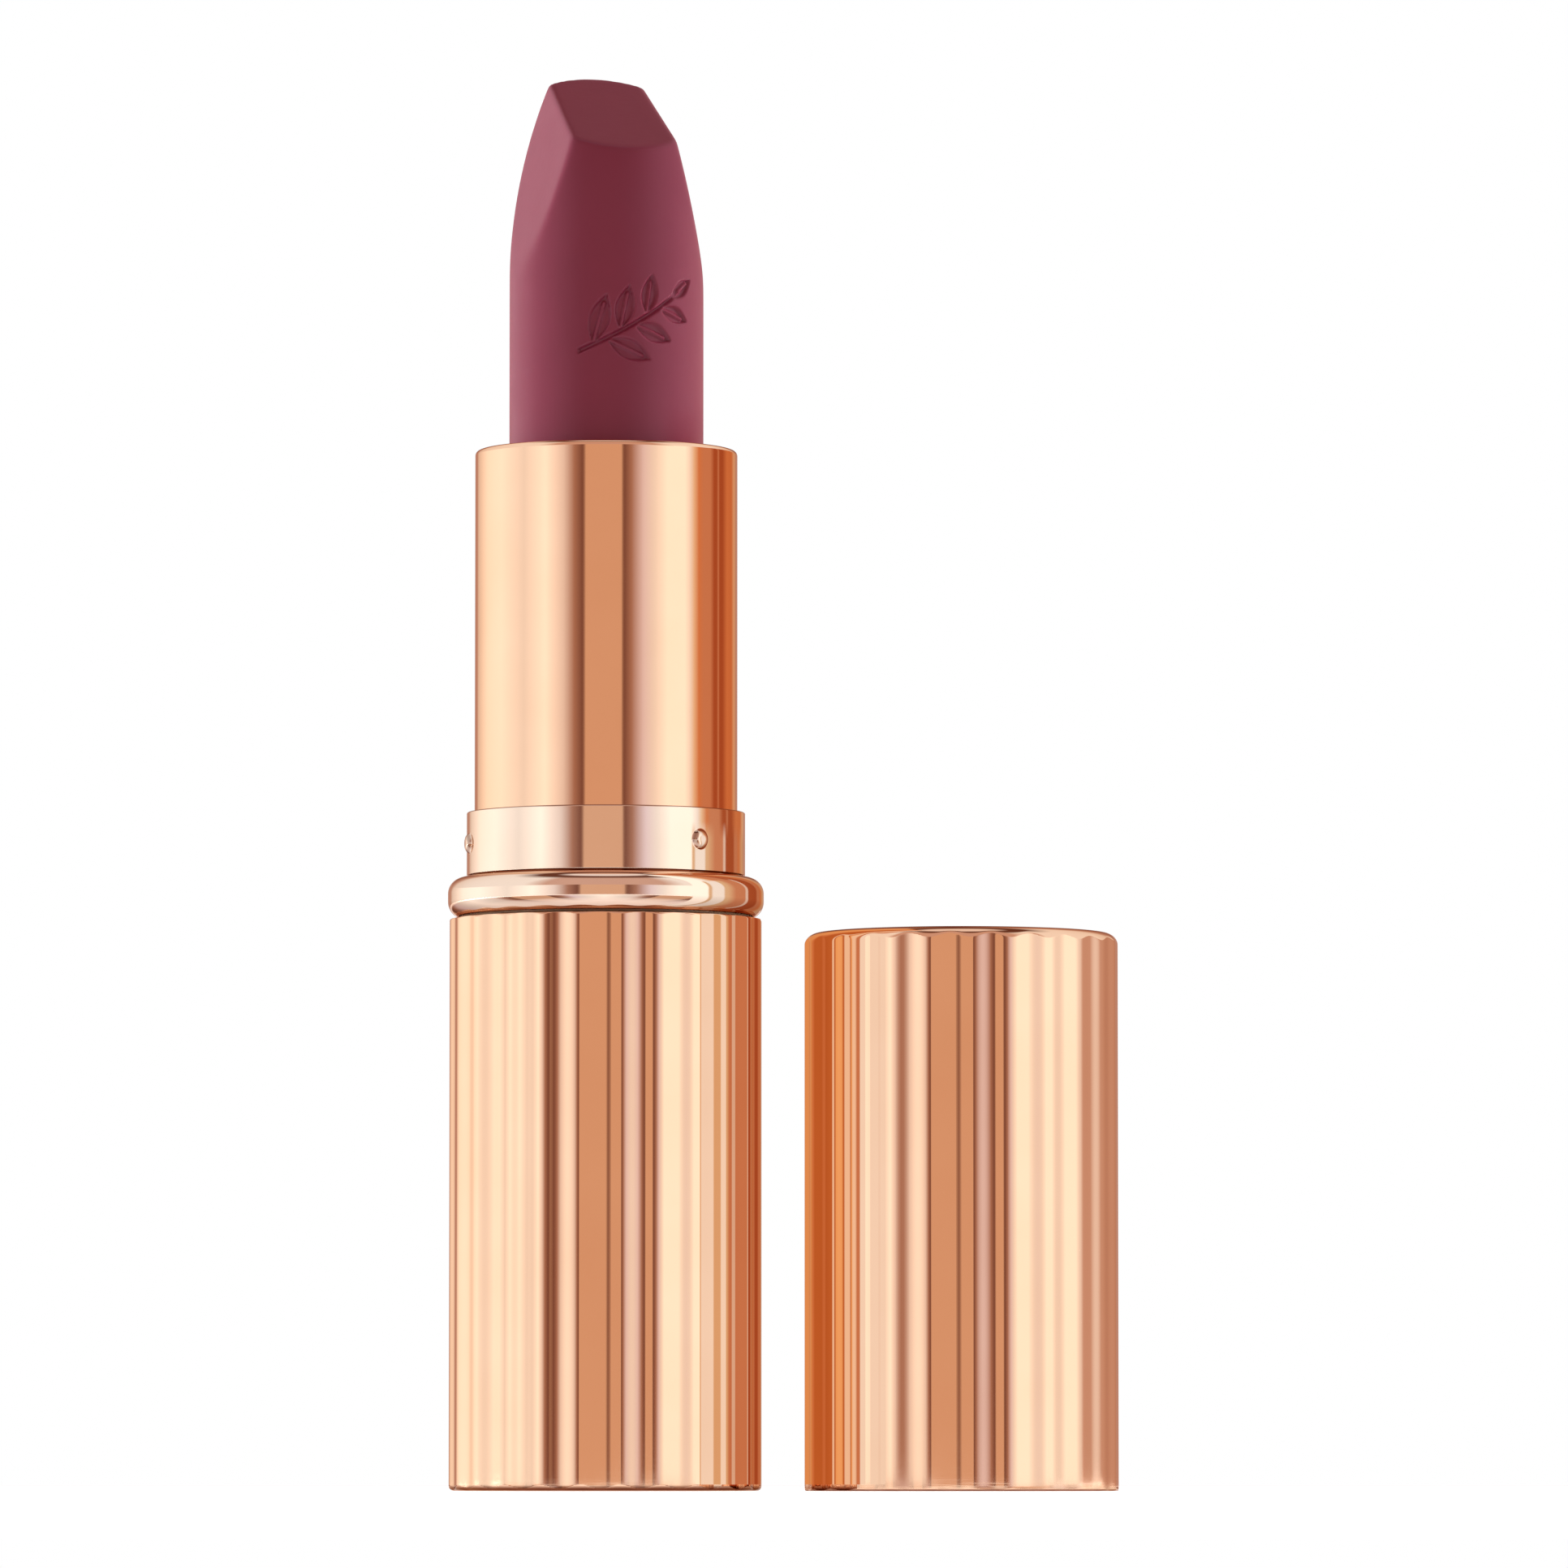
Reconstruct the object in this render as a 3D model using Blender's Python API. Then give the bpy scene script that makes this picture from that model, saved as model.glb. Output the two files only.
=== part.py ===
"""Twist-up lipstick case: open, with its stick raised and its cap standing beside it.

Metres, +Z up along the case, front towards -Y, origin under the middle of the base.
Turning the upper sleeve turns a spiral tube. The lugs of the stick's cup run in its helical slots and in
the straight slots of a fixed guide tube, so the cup moves up and down without turning.
"""

import math

import bmesh
import bpy
from mathutils import Matrix

# Stick
STICK_RADIUS = 0.00605
STICK_SHOWN = 0.02393  # from the sleeve's rim to the top of the tip, fully raised
TAPER_LENGTH = 0.00948  # from where the taper starts to the top of the tip
TAPER_TOP_RADIUS = 0.0038
TAPER_POWER = 2.7
SLANT_ANGLE = math.radians(29.9)  # of the top face against level
SLANT_TURN = math.radians(14.8)  # from the front towards +X, the way that the top face looks
FLAT_ANGLE = math.radians(14.9)  # of the two side flats against upright
FLAT_SPREAD = math.radians(83.6)  # from the way that the top face looks, to each side
FLAT_OFFSET = 0.00316  # of the flats from the axis, at the slanted face

# Walls, from the stick outwards
CUP_WALL = 0.00045
GUIDE_WALL = 0.0005
SPIRAL_WALL = 0.0005
SLEEVE_WALL = 0.000375
COLLAR_WALL = 0.000385
INSERT_WALL = 0.00048
SHELL_WALL = 0.00038  # behind the deepest line of a flute
CAP_INSERT_WALL = 0.00046

# Clearances
FIT_GAP = 0.00005  # pressed or glued
RUN_GAP = 0.0001  # turning or sliding
STACK_GAP = 0.0001  # between stacked faces
GRIP_GAP = 0.00009  # between the collar and the cap's insert
LUG_GAP = 0.00015  # on each side of a lug in its slots

# Heights that show, from the table upwards
BASE_HEIGHT = 0.0354
BEAD_HEIGHT = 0.00255
COLLAR_SHOWN = 0.00405
SLEEVE_SHOWN = 0.0226
CAP_HEADROOM = 0.00795  # from the sleeve's rim to the top of the closed cap

# Fluted shells
FLUTE_COUNT = 24
FLUTE_DEPTH = 0.00015
FLUTE_TURN = math.radians(5.5)  # from the front towards +X, to the nearest crest
SHELL_FLOOR = 0.0006
BASE_CORNER = 0.00046
BASE_LIP = 0.0004
CAP_CORNER = 0.0009
CAP_LIP = 0.00015
CAP_APART = 0.00254  # between the base and the cap beside it

# Bead ring and collar
BEAD_PROUD = 0.00005
BEAD_SHOULDER = 0.001
BEAD_FOOT = 0.00075
COLLAR_LIP = 0.0002
RELIEF_DEPTH = 0.0002  # of the groove round the collar, where the bead meets it
RELIEF_LOW = 0.0001  # from the bead's top down to the groove's lower edge
RELIEF_HIGH = 0.00022  # from the bead's top up to its upper edge
PIP_COUNT = 3
PIP_RADIUS = 0.00065
PIP_HEIGHT = 0.0003
PIP_DROP = 0.002  # from the collar's top edge to the middle of a pip
PIP_TURN = math.radians(43)  # from the front towards +X

# Mechanism
SLEEVE_LIP_WIDTH = 0.0012
SLEEVE_LIP_ROUND = 0.0003
CUP_DROP = 0.0007  # from the sleeve's rim down to the cup's rim
CUP_DEPTH = 0.0098
CUP_FLOOR = 0.0008
CUP_HOLE_RADIUS = 0.0015
LUG_RADIUS = 0.00075
LUG_RISE = 0.0012  # from the cup's underside to the middle of a lug
LUG_COUNT = 2
TIP_CLEARANCE = 0.0009  # from the sleeve's rim down to the tip, fully lowered
SPIRAL_LEAD = 0.018  # rise in one turn
CUP_UNDER_GAP = 0.0015  # under the cup, fully lowered
GUIDE_LIP_HEIGHT = 0.0005
SOCKET_DEPTH = 0.0066  # of the guide tube in the base insert
SOCKET_SEAT = 0.0009
RING_HEIGHT = 0.0004
SLEEVE_LIFT = 0.0009  # from the insert's shoulder to the sleeve's lower edge

# Foot
WEIGHT_HEIGHT = 0.006
WEIGHT_CHAMFER = 0.0005
LABEL_RADIUS = 0.0069
LABEL_THICKNESS = 0.0001

# Cap insert
CAP_AIR = 0.0012  # over the sleeve's rim, under the insert's roof
INSERT_ROOF = 0.0008
INSERT_SETBACK = 0.0004  # from the cap's mouth
GROOVE_GAP = 0.00002
SPACER_RADIUS = 0.0063
SPACER_WALL = 0.0008

# Facets
ROUND_SIDES = 48
FLUTE_FACETS = 4
ARC_FACETS = 3
TAPER_ROWS = 8
PIP_SIDES = 12
LUG_SIDES = 16
SLOT_STEP = math.radians(15)
SMOOTH_BELOW = math.radians(35)
AXIS_SHOWN = 0.01  # of the empties that stand for the axes
WELD = 1e-7

# Radii, each from the one inside it
cup_bore = STICK_RADIUS + FIT_GAP
cup_radius = cup_bore + CUP_WALL
guide_bore = cup_radius + RUN_GAP
guide_radius = guide_bore + GUIDE_WALL
spiral_bore = guide_radius + RUN_GAP
spiral_radius = spiral_bore + SPIRAL_WALL
sleeve_bore = spiral_radius + FIT_GAP
sleeve_radius = sleeve_bore + SLEEVE_WALL
collar_bore = sleeve_radius + RUN_GAP
collar_radius = collar_bore + COLLAR_WALL
insert_bore = collar_radius + FIT_GAP
insert_radius = insert_bore + INSERT_WALL
base_bore = insert_radius + FIT_GAP
base_radius = base_bore + SHELL_WALL + FLUTE_DEPTH
bead_radius = base_radius + BEAD_PROUD
cap_insert_bore = collar_radius + GRIP_GAP
cap_insert_radius = cap_insert_bore + CAP_INSERT_WALL
cap_bore = cap_insert_radius + FIT_GAP
cap_radius = cap_bore + SHELL_WALL + FLUTE_DEPTH

# Heights above the table, each from the one under it
bead_low = BASE_HEIGHT + STACK_GAP
bead_top = bead_low + BEAD_HEIGHT
collar_top = bead_top + COLLAR_SHOWN
sleeve_top = collar_top + SLEEVE_SHOWN
stick_top = sleeve_top + STICK_SHOWN
travel = STICK_SHOWN + TIP_CLEARANCE
cup_top = sleeve_top - CUP_DROP
cup_floor = cup_top - CUP_DEPTH
cup_low = cup_floor - CUP_FLOOR
lug_height = cup_low + LUG_RISE
shoulder = cup_low - travel - CUP_UNDER_GAP
guide_low = shoulder - SOCKET_DEPTH
guide_top = sleeve_top - SLEEVE_WALL - STACK_GAP
spiral_low = shoulder + STACK_GAP + RING_HEIGHT + STACK_GAP
spiral_top = guide_top - GUIDE_LIP_HEIGHT - STACK_GAP - RING_HEIGHT - STACK_GAP
cap_inside = sleeve_top - bead_top + CAP_AIR
cap_height = sleeve_top - bead_top + CAP_HEADROOM
cap_place = base_radius + CAP_APART + cap_radius


def clear_scene():
    for obj in list(bpy.data.objects):
        bpy.data.objects.remove(obj, do_unlink=True)


def finish(name, colour, roughness, metallic):
    material = bpy.data.materials.new(name)
    material.use_nodes = True
    shader = material.node_tree.nodes["Principled BSDF"]
    shader.inputs["Base Color"].default_value = (*colour, 1)
    shader.inputs["Roughness"].default_value = roughness
    shader.inputs["Metallic"].default_value = metallic
    return material


def rose_gold(name):
    return finish(name, (0.86, 0.52, 0.37), 0.12, 1)


def moulding(name):
    return finish(name, (0.82, 0.80, 0.76), 0.45, 0)


def silicone(name):
    return finish(name, (0.75, 0.75, 0.73), 0.6, 0)


def axis_empty(name, place):
    empty = bpy.data.objects.new(name, None)
    empty.location = place
    empty.empty_display_size = AXIS_SHOWN
    bpy.context.scene.collection.objects.link(empty)
    return empty


def piece(name, bm, material, axis, height=0.0):
    """The bmesh as a named object on an axis, with its own bottom at the given height."""
    mesh = bpy.data.meshes.new(name)
    bm.to_mesh(mesh)
    bm.free()
    mesh.shade_smooth()
    mesh.set_sharp_from_angle(angle=SMOOTH_BELOW)
    obj = bpy.data.objects.new(name, mesh)
    obj.location = (0, 0, height)
    obj.parent = axis
    if material:
        mesh.materials.append(material)
    bpy.context.scene.collection.objects.link(obj)
    return obj


def apply_tool(obj, tool, operation):
    """A Boolean of a hidden helper on the same axis."""
    tool.hide_render = True
    tool.display_type = "WIRE"
    modifier = obj.modifiers.new(tool.name, "BOOLEAN")
    modifier.operation = operation
    modifier.solver = "EXACT"
    modifier.object = tool


def arc(centre, radius, start, end):
    """Profile points round a corner, with angles in degrees from outwards to up."""
    turns = [math.radians(start + (end - start) * i / ARC_FACETS) for i in range(ARC_FACETS + 1)]
    return [(centre[0] + radius * math.cos(t), centre[1] + radius * math.sin(t)) for t in turns]


def turned(profile, closed, sides=ROUND_SIDES):
    """A solid turned about Z from (radius, height) points. An open profile starts and ends on the axis."""
    bm = bmesh.new()
    points = [bm.verts.new((radius, 0, height)) for radius, height in profile]
    pairs = list(zip(points, points[1:]))
    if closed:
        pairs.append((points[-1], points[0]))
    edges = [bm.edges.new(pair) for pair in pairs]
    bmesh.ops.spin(
        bm, geom=points + edges, cent=(0, 0, 0), axis=(0, 0, 1), angle=math.tau, steps=sides, use_merge=True
    )
    bmesh.ops.remove_doubles(bm, verts=bm.verts, dist=WELD)
    bmesh.ops.recalc_face_normals(bm, faces=bm.faces)
    return bm


def ring(inner, outer, height):
    return turned([(inner, 0), (outer, 0), (outer, height), (inner, height)], closed=True)


def flute(bm, radius):
    """Rolls straight flutes into the outer wall, which run out in its round corners."""
    for vert in bm.verts:
        reach = math.hypot(vert.co.x, vert.co.y)
        angle = math.atan2(vert.co.y, vert.co.x)
        limit = radius - FLUTE_DEPTH * (0.5 - 0.5 * math.cos(FLUTE_COUNT * angle))
        if reach > limit:
            vert.co.x *= limit / reach
            vert.co.y *= limit / reach
    turn = Matrix.Rotation(FLUTE_TURN - math.pi / 2, 3, "Z")
    bmesh.ops.rotate(bm, cent=(0, 0, 0), matrix=turn, verts=bm.verts)
    return bm


def towards(turn):
    """The level direction at an angle from the front towards +X."""
    return math.sin(turn), -math.cos(turn)


def base_shell(axis):
    recess = LABEL_THICKNESS + FIT_GAP
    recess_radius = LABEL_RADIUS + FIT_GAP
    profile = [(0, recess), (recess_radius, recess), (recess_radius, 0)]
    profile += arc((base_radius - BASE_CORNER, BASE_CORNER), BASE_CORNER, -90, 0)
    profile += arc((base_radius - BASE_LIP, BASE_HEIGHT - BASE_LIP), BASE_LIP, 0, 90)
    profile += [(base_bore, BASE_HEIGHT), (base_bore, SHELL_FLOOR), (0, SHELL_FLOOR)]
    bm = turned(profile, closed=False, sides=FLUTE_COUNT * FLUTE_FACETS)
    flute(bm, base_radius)
    return piece("base_shell", bm, rose_gold("base_shell_metal"), axis)


def base_weight(axis):
    radius = base_bore - RUN_GAP
    edge = WEIGHT_CHAMFER
    profile = [(0, 0), (radius - edge, 0), (radius, edge), (radius, WEIGHT_HEIGHT - edge)]
    profile += [(radius - edge, WEIGHT_HEIGHT), (0, WEIGHT_HEIGHT)]
    bm = turned(profile, closed=False)
    steel = finish("weight_steel", (0.45, 0.45, 0.46), 0.4, 1)
    return piece("base_weight", bm, steel, axis, SHELL_FLOOR + STACK_GAP)


def base_insert(axis):
    low = SHELL_FLOOR + STACK_GAP + WEIGHT_HEIGHT + STACK_GAP
    socket = guide_radius + FIT_GAP
    seat = guide_low - STACK_GAP
    under = seat - SOCKET_SEAT
    profile = [(insert_bore, BASE_HEIGHT), (insert_radius, BASE_HEIGHT), (insert_radius, low)]
    profile += [(insert_bore, low), (insert_bore, under), (guide_bore, under), (guide_bore, seat)]
    profile += [(socket, seat), (socket, shoulder), (insert_bore, shoulder)]
    return piece("base_insert", turned(profile, closed=True), moulding("base_insert_plastic"), axis)


def shade_label(axis):
    profile = [(0, 0), (LABEL_RADIUS, 0), (LABEL_RADIUS, LABEL_THICKNESS), (0, LABEL_THICKNESS)]
    paper = finish("label_paper", (0.88, 0.84, 0.80), 0.7, 0)
    return piece("shade_label", turned(profile, closed=False), paper, axis)


def bead_ring(axis):
    inner = collar_radius + FIT_GAP
    profile = [(inner, 0)]
    profile += arc((bead_radius - BEAD_FOOT, BEAD_FOOT), BEAD_FOOT, -90, 0)
    profile += arc((bead_radius - BEAD_SHOULDER, BEAD_HEIGHT - BEAD_SHOULDER), BEAD_SHOULDER, 0, 90)
    profile += [(inner, BEAD_HEIGHT)]
    return piece("bead_ring", turned(profile, closed=True), rose_gold("bead_metal"), axis, bead_low)


def pip(name, axis, turn, height):
    """A round boss on the collar's face. Its inner half stays inside the wall."""
    bm = bmesh.new()
    bmesh.ops.create_uvsphere(bm, u_segments=PIP_SIDES, v_segments=PIP_SIDES // 2, radius=1)
    for vert in bm.verts:
        vert.co.x *= PIP_RADIUS
        vert.co.y *= PIP_RADIUS
        vert.co.z *= PIP_HEIGHT if vert.co.z > 0 else COLLAR_WALL / 2
    lay = Matrix.Rotation(turn, 3, "Z") @ Matrix.Rotation(math.pi / 2, 3, "X")
    bmesh.ops.rotate(bm, cent=(0, 0, 0), matrix=lay, verts=bm.verts)
    across, forward = towards(turn)
    bmesh.ops.translate(bm, vec=(across * collar_radius, forward * collar_radius, 0), verts=bm.verts)
    return piece(name, bm, None, axis, height)


def collar(axis):
    low = shoulder + STACK_GAP
    height = collar_top - low
    relief = collar_radius - RELIEF_DEPTH
    relief_low = bead_top - RELIEF_LOW - low
    relief_high = bead_top + RELIEF_HIGH - low
    profile = [(collar_bore, 0), (collar_radius, 0), (collar_radius, relief_low), (relief, relief_low)]
    profile += [(relief, relief_high), (collar_radius, relief_high)]
    profile += arc((collar_radius - COLLAR_LIP, height - COLLAR_LIP), COLLAR_LIP, 0, 90)
    profile += [(collar_bore, height)]
    obj = piece("collar", turned(profile, closed=True), rose_gold("collar_metal"), axis, low)
    for i in range(PIP_COUNT):
        turn = PIP_TURN + math.tau * i / PIP_COUNT
        apply_tool(obj, pip(f"pip_{i + 1}", axis, turn, collar_top - PIP_DROP), "UNION")
    return obj


def guide_tube(axis):
    height = guide_top - guide_low
    lip = height - GUIDE_LIP_HEIGHT
    profile = [(guide_bore, 0), (guide_radius, 0), (guide_radius, lip), (spiral_radius, lip)]
    profile += [(spiral_radius, height), (guide_bore, height)]
    obj = piece("guide_tube", turned(profile, closed=True), moulding("guide_plastic"), axis, guide_low)
    reach = LUG_RADIUS + LUG_GAP
    slot_low = lug_height - travel - reach
    slot_high = lug_height + reach
    bm = bmesh.new()
    bmesh.ops.create_cube(bm, size=1)
    size = (2 * spiral_radius, 2 * reach, slot_high - slot_low)
    bmesh.ops.scale(bm, vec=size, verts=bm.verts)
    apply_tool(obj, piece("guide_slot", bm, None, axis, (slot_low + slot_high) / 2), "DIFFERENCE")
    return obj


def friction_ring(name, axis, inner, outer, height):
    return piece(name, ring(inner, outer, RING_HEIGHT), silicone(f"{name}_silicone"), axis, height)


def upper_sleeve(axis):
    low = shoulder + SLEEVE_LIFT
    height = sleeve_top - low
    mouth = sleeve_radius - SLEEVE_LIP_WIDTH
    under = height - SLEEVE_WALL
    profile = [(sleeve_bore, 0), (sleeve_radius, 0)]
    profile += arc((sleeve_radius - SLEEVE_LIP_ROUND, height - SLEEVE_LIP_ROUND), SLEEVE_LIP_ROUND, 0, 90)
    profile += [(mouth, height), (mouth, under), (sleeve_bore, under)]
    return piece("upper_sleeve", turned(profile, closed=True), rose_gold("sleeve_metal"), axis, low)


def helical_slot(name, axis, start):
    """A bar along the helix that a lug follows, wide enough for the lug and its clearance."""
    middle = (spiral_bore + spiral_radius) / 2
    climb = SPIRAL_LEAD / math.tau
    reach = LUG_RADIUS + LUG_GAP
    half_height = reach / math.cos(math.atan2(climb, middle))
    past_end = reach / middle
    sweep = travel / climb + 2 * past_end
    steps = math.ceil(sweep / SLOT_STEP)
    inner = spiral_bore - SPIRAL_WALL
    outer = spiral_radius + SPIRAL_WALL
    corners = [(inner, -half_height), (outer, -half_height), (outer, half_height), (inner, half_height)]
    bm = bmesh.new()
    sections = []
    for i in range(steps + 1):
        turn = past_end - sweep * i / steps
        right, back = math.cos(start + turn), math.sin(start + turn)
        rows = [(radius * right, radius * back, turn * climb + rise) for radius, rise in corners]
        sections.append([bm.verts.new(row) for row in rows])
    for lower, upper in zip(sections, sections[1:]):
        for i in range(len(corners)):
            bm.faces.new((lower[i], lower[i - 1], upper[i - 1], upper[i]))
    bm.faces.new(sections[0])
    bm.faces.new(sections[-1])
    # The bar's sides are twisted, and triangles say how without doubt
    bmesh.ops.triangulate(bm, faces=bm.faces)
    bmesh.ops.recalc_face_normals(bm, faces=bm.faces)
    return piece(name, bm, None, axis, lug_height)


def spiral_tube(axis):
    bm = ring(spiral_bore, spiral_radius, spiral_top - spiral_low)
    obj = piece("spiral_tube", bm, moulding("spiral_plastic"), axis, spiral_low)
    for i in range(LUG_COUNT):
        apply_tool(obj, helical_slot(f"helix_{i + 1}", axis, math.tau * i / LUG_COUNT), "DIFFERENCE")
    return obj


def lug(name, axis, turn):
    inner = (cup_bore + cup_radius) / 2
    outer = spiral_radius - RUN_GAP
    bm = bmesh.new()
    bmesh.ops.create_cone(
        bm, cap_ends=True, segments=LUG_SIDES, radius1=LUG_RADIUS, radius2=LUG_RADIUS, depth=outer - inner
    )
    bmesh.ops.translate(bm, vec=(0, 0, (inner + outer) / 2), verts=bm.verts)
    lay = Matrix.Rotation(turn, 3, "Z") @ Matrix.Rotation(math.pi / 2, 3, "Y")
    bmesh.ops.rotate(bm, cent=(0, 0, 0), matrix=lay, verts=bm.verts)
    return piece(name, bm, None, axis, lug_height)


def carrier_cup(axis):
    height = cup_top - cup_low
    profile = [(CUP_HOLE_RADIUS, 0), (cup_radius, 0), (cup_radius, height), (cup_bore, height)]
    profile += [(cup_bore, CUP_FLOOR), (CUP_HOLE_RADIUS, CUP_FLOOR)]
    obj = piece("carrier_cup", turned(profile, closed=True), moulding("cup_plastic"), axis, cup_low)
    for i in range(LUG_COUNT):
        apply_tool(obj, lug(f"lug_{i + 1}", axis, math.tau * i / LUG_COUNT), "UNION")
    return obj


def slice_off(bm, point, normal):
    """Cuts away what lies past a plane, and closes the cut with a flat face."""
    everything = bm.verts[:] + bm.edges[:] + bm.faces[:]
    made = bmesh.ops.bisect_plane(
        bm, geom=everything, dist=WELD, plane_co=point, plane_no=normal, clear_outer=True
    )
    rim = [item for item in made["geom_cut"] if isinstance(item, bmesh.types.BMEdge)]
    bmesh.ops.edgeloop_fill(bm, edges=rim)


def lipstick_stick(axis):
    low = cup_floor + STACK_GAP
    height = stick_top - low
    taper_low = height - TAPER_LENGTH
    profile = [(0, 0), (STICK_RADIUS, 0)]
    # One row past the top leaves the slanted cut something to cut all round
    for i in range(TAPER_ROWS + 2):
        share = i / TAPER_ROWS
        narrowing = (STICK_RADIUS - TAPER_TOP_RADIUS) * share**TAPER_POWER
        profile.append((STICK_RADIUS - narrowing, taper_low + TAPER_LENGTH * share))
    profile.append((0, profile[-1][1]))
    bm = turned(profile, closed=False)
    slant_height = height - TAPER_TOP_RADIUS * math.tan(SLANT_ANGLE)
    across, forward = towards(SLANT_TURN)
    lean = math.sin(SLANT_ANGLE)
    slice_off(bm, (0, 0, slant_height), (lean * across, lean * forward, math.cos(SLANT_ANGLE)))
    for side in (-1, 1):
        right, ahead = towards(SLANT_TURN + side * FLAT_SPREAD)
        level = math.cos(FLAT_ANGLE)
        point = (right * FLAT_OFFSET, ahead * FLAT_OFFSET, slant_height)
        slice_off(bm, point, (level * right, level * ahead, math.sin(FLAT_ANGLE)))
    wax = finish("stick_wax", (0.19, 0.026, 0.042), 0.5, 0)
    return piece("lipstick_stick", bm, wax, axis, low)


def cap_shell(axis):
    inside = cap_height - SHELL_FLOOR
    profile = [(0, inside), (cap_bore, inside), (cap_bore, 0)]
    profile += arc((cap_radius - CAP_LIP, CAP_LIP), CAP_LIP, -90, 0)
    profile += arc((cap_radius - CAP_CORNER, cap_height - CAP_CORNER), CAP_CORNER, 0, 90)
    profile += [(0, cap_height)]
    bm = turned(profile, closed=False, sides=FLUTE_COUNT * FLUTE_FACETS)
    flute(bm, cap_radius)
    return piece("cap_shell", bm, rose_gold("cap_shell_metal"), axis)


def cap_insert(axis):
    pip_height = COLLAR_SHOWN - PIP_DROP
    groove = collar_radius + PIP_HEIGHT + GROOVE_GAP
    groove_low = pip_height - PIP_RADIUS - RUN_GAP
    groove_high = pip_height + PIP_RADIUS + RUN_GAP
    roof = cap_inside + INSERT_ROOF
    ceiling = cap_height - SHELL_FLOOR - STACK_GAP
    spacer_bore = SPACER_RADIUS - SPACER_WALL
    profile = [(0, cap_inside), (cap_insert_bore, cap_inside), (cap_insert_bore, groove_high)]
    profile += [(groove, groove_high), (groove, groove_low), (cap_insert_bore, groove_low)]
    profile += [(cap_insert_bore, INSERT_SETBACK), (cap_insert_radius, INSERT_SETBACK)]
    profile += [(cap_insert_radius, roof), (SPACER_RADIUS, roof), (SPACER_RADIUS, ceiling)]
    profile += [(spacer_bore, ceiling), (spacer_bore, roof), (0, roof)]
    return piece("cap_insert", turned(profile, closed=False), moulding("cap_insert_plastic"), axis)


def build():
    clear_scene()
    base = axis_empty("base_axis", (0, 0, 0))
    base_shell(base)
    base_weight(base)
    base_insert(base)
    shade_label(base)
    bead_ring(base)
    collar(base)
    guide_tube(base)
    ring_bore = guide_radius + RUN_GAP
    friction_ring("friction_ring_lower", base, ring_bore, sleeve_bore, shoulder + STACK_GAP)
    friction_ring("friction_ring_upper", base, ring_bore, spiral_radius, spiral_top + STACK_GAP)
    twist = axis_empty("twist_axis", (0, 0, 0))
    upper_sleeve(twist)
    spiral_tube(twist)
    carrier = axis_empty("carrier_axis", (0, 0, 0))
    carrier_cup(carrier)
    lipstick_stick(carrier)
    cap = axis_empty("cap_axis", (cap_place, 0, 0))
    cap_shell(cap)
    cap_insert(cap)
    turn = math.degrees(travel / SPIRAL_LEAD * math.tau)
    print(f"travel {travel * 1000:.3f} mm, turn {turn:.2f} degrees")
    print(f"cap axis at x {cap_place * 1000:.3f} mm, cap inside {cap_inside * 1000:.3f} mm deep")


build()
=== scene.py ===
# %% [markdown]
# # A twist-up lipstick, open, with its cap beside it
#
# The real case is a stack of thin metal shells on one axis: a fluted base, a rounded bead, a collar with
# three snap pips, and a smooth sleeve that turns and lifts the wax stick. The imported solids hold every
# piece at its true size and place, but with few facets. Each step below makes a fine mesh in the same
# place, or keeps the solid where it is hidden, and gives it a finish.

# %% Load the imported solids
import math
from collections import namedtuple

import bmesh
import bpy
import numpy as np
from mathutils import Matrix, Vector


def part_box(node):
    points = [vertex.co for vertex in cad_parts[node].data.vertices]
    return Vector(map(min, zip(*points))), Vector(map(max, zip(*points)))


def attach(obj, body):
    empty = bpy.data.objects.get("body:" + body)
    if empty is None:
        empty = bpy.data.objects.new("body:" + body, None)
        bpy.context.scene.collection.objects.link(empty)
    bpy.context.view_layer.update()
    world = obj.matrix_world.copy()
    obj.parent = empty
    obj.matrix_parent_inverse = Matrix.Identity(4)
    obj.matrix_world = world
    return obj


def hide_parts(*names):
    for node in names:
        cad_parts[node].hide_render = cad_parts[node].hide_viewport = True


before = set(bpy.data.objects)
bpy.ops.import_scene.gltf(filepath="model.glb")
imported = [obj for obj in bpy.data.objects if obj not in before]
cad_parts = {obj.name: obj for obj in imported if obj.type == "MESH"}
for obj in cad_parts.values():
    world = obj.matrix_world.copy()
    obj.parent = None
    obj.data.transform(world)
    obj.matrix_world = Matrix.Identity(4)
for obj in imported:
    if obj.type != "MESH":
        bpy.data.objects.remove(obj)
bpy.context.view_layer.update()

MM = 0.001
scene = bpy.context.scene
scene.view_settings.view_transform = "Standard"


# %% [markdown]
# ## The camera
#
# A product shot is taken from well back with a long lens, so that upright walls stay upright and the near
# rim of a tube looks hardly wider than the far one. The rims of this case bow upwards in the picture, so
# the lens stood low, about level with the foot. A short lens close by would show more of each rim, but it
# would also make the walls lean.

# %% Place the camera
CAMERA_PLACE = Vector((11.08, -660, 0.5)) * MM
CAMERA_AIM = Vector((11.08, 0, 43.92)) * MM
CAMERA_LENS = 243.9


def aim(made, place):
    """Puts a camera or a lamp at a place, turned to the middle of the picture."""
    made.location = place
    made.rotation_euler = (CAMERA_AIM - place).to_track_quat("-Z", "Y").to_euler()
    scene.collection.objects.link(made)


camera = bpy.data.objects.new("photo_camera", bpy.data.cameras.new("photo_camera"))
camera.data.lens = CAMERA_LENS
aim(camera, CAMERA_PLACE)
scene.camera = camera
print("camera stands", round((CAMERA_AIM - CAMERA_PLACE).length / MM), "mm away")


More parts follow.
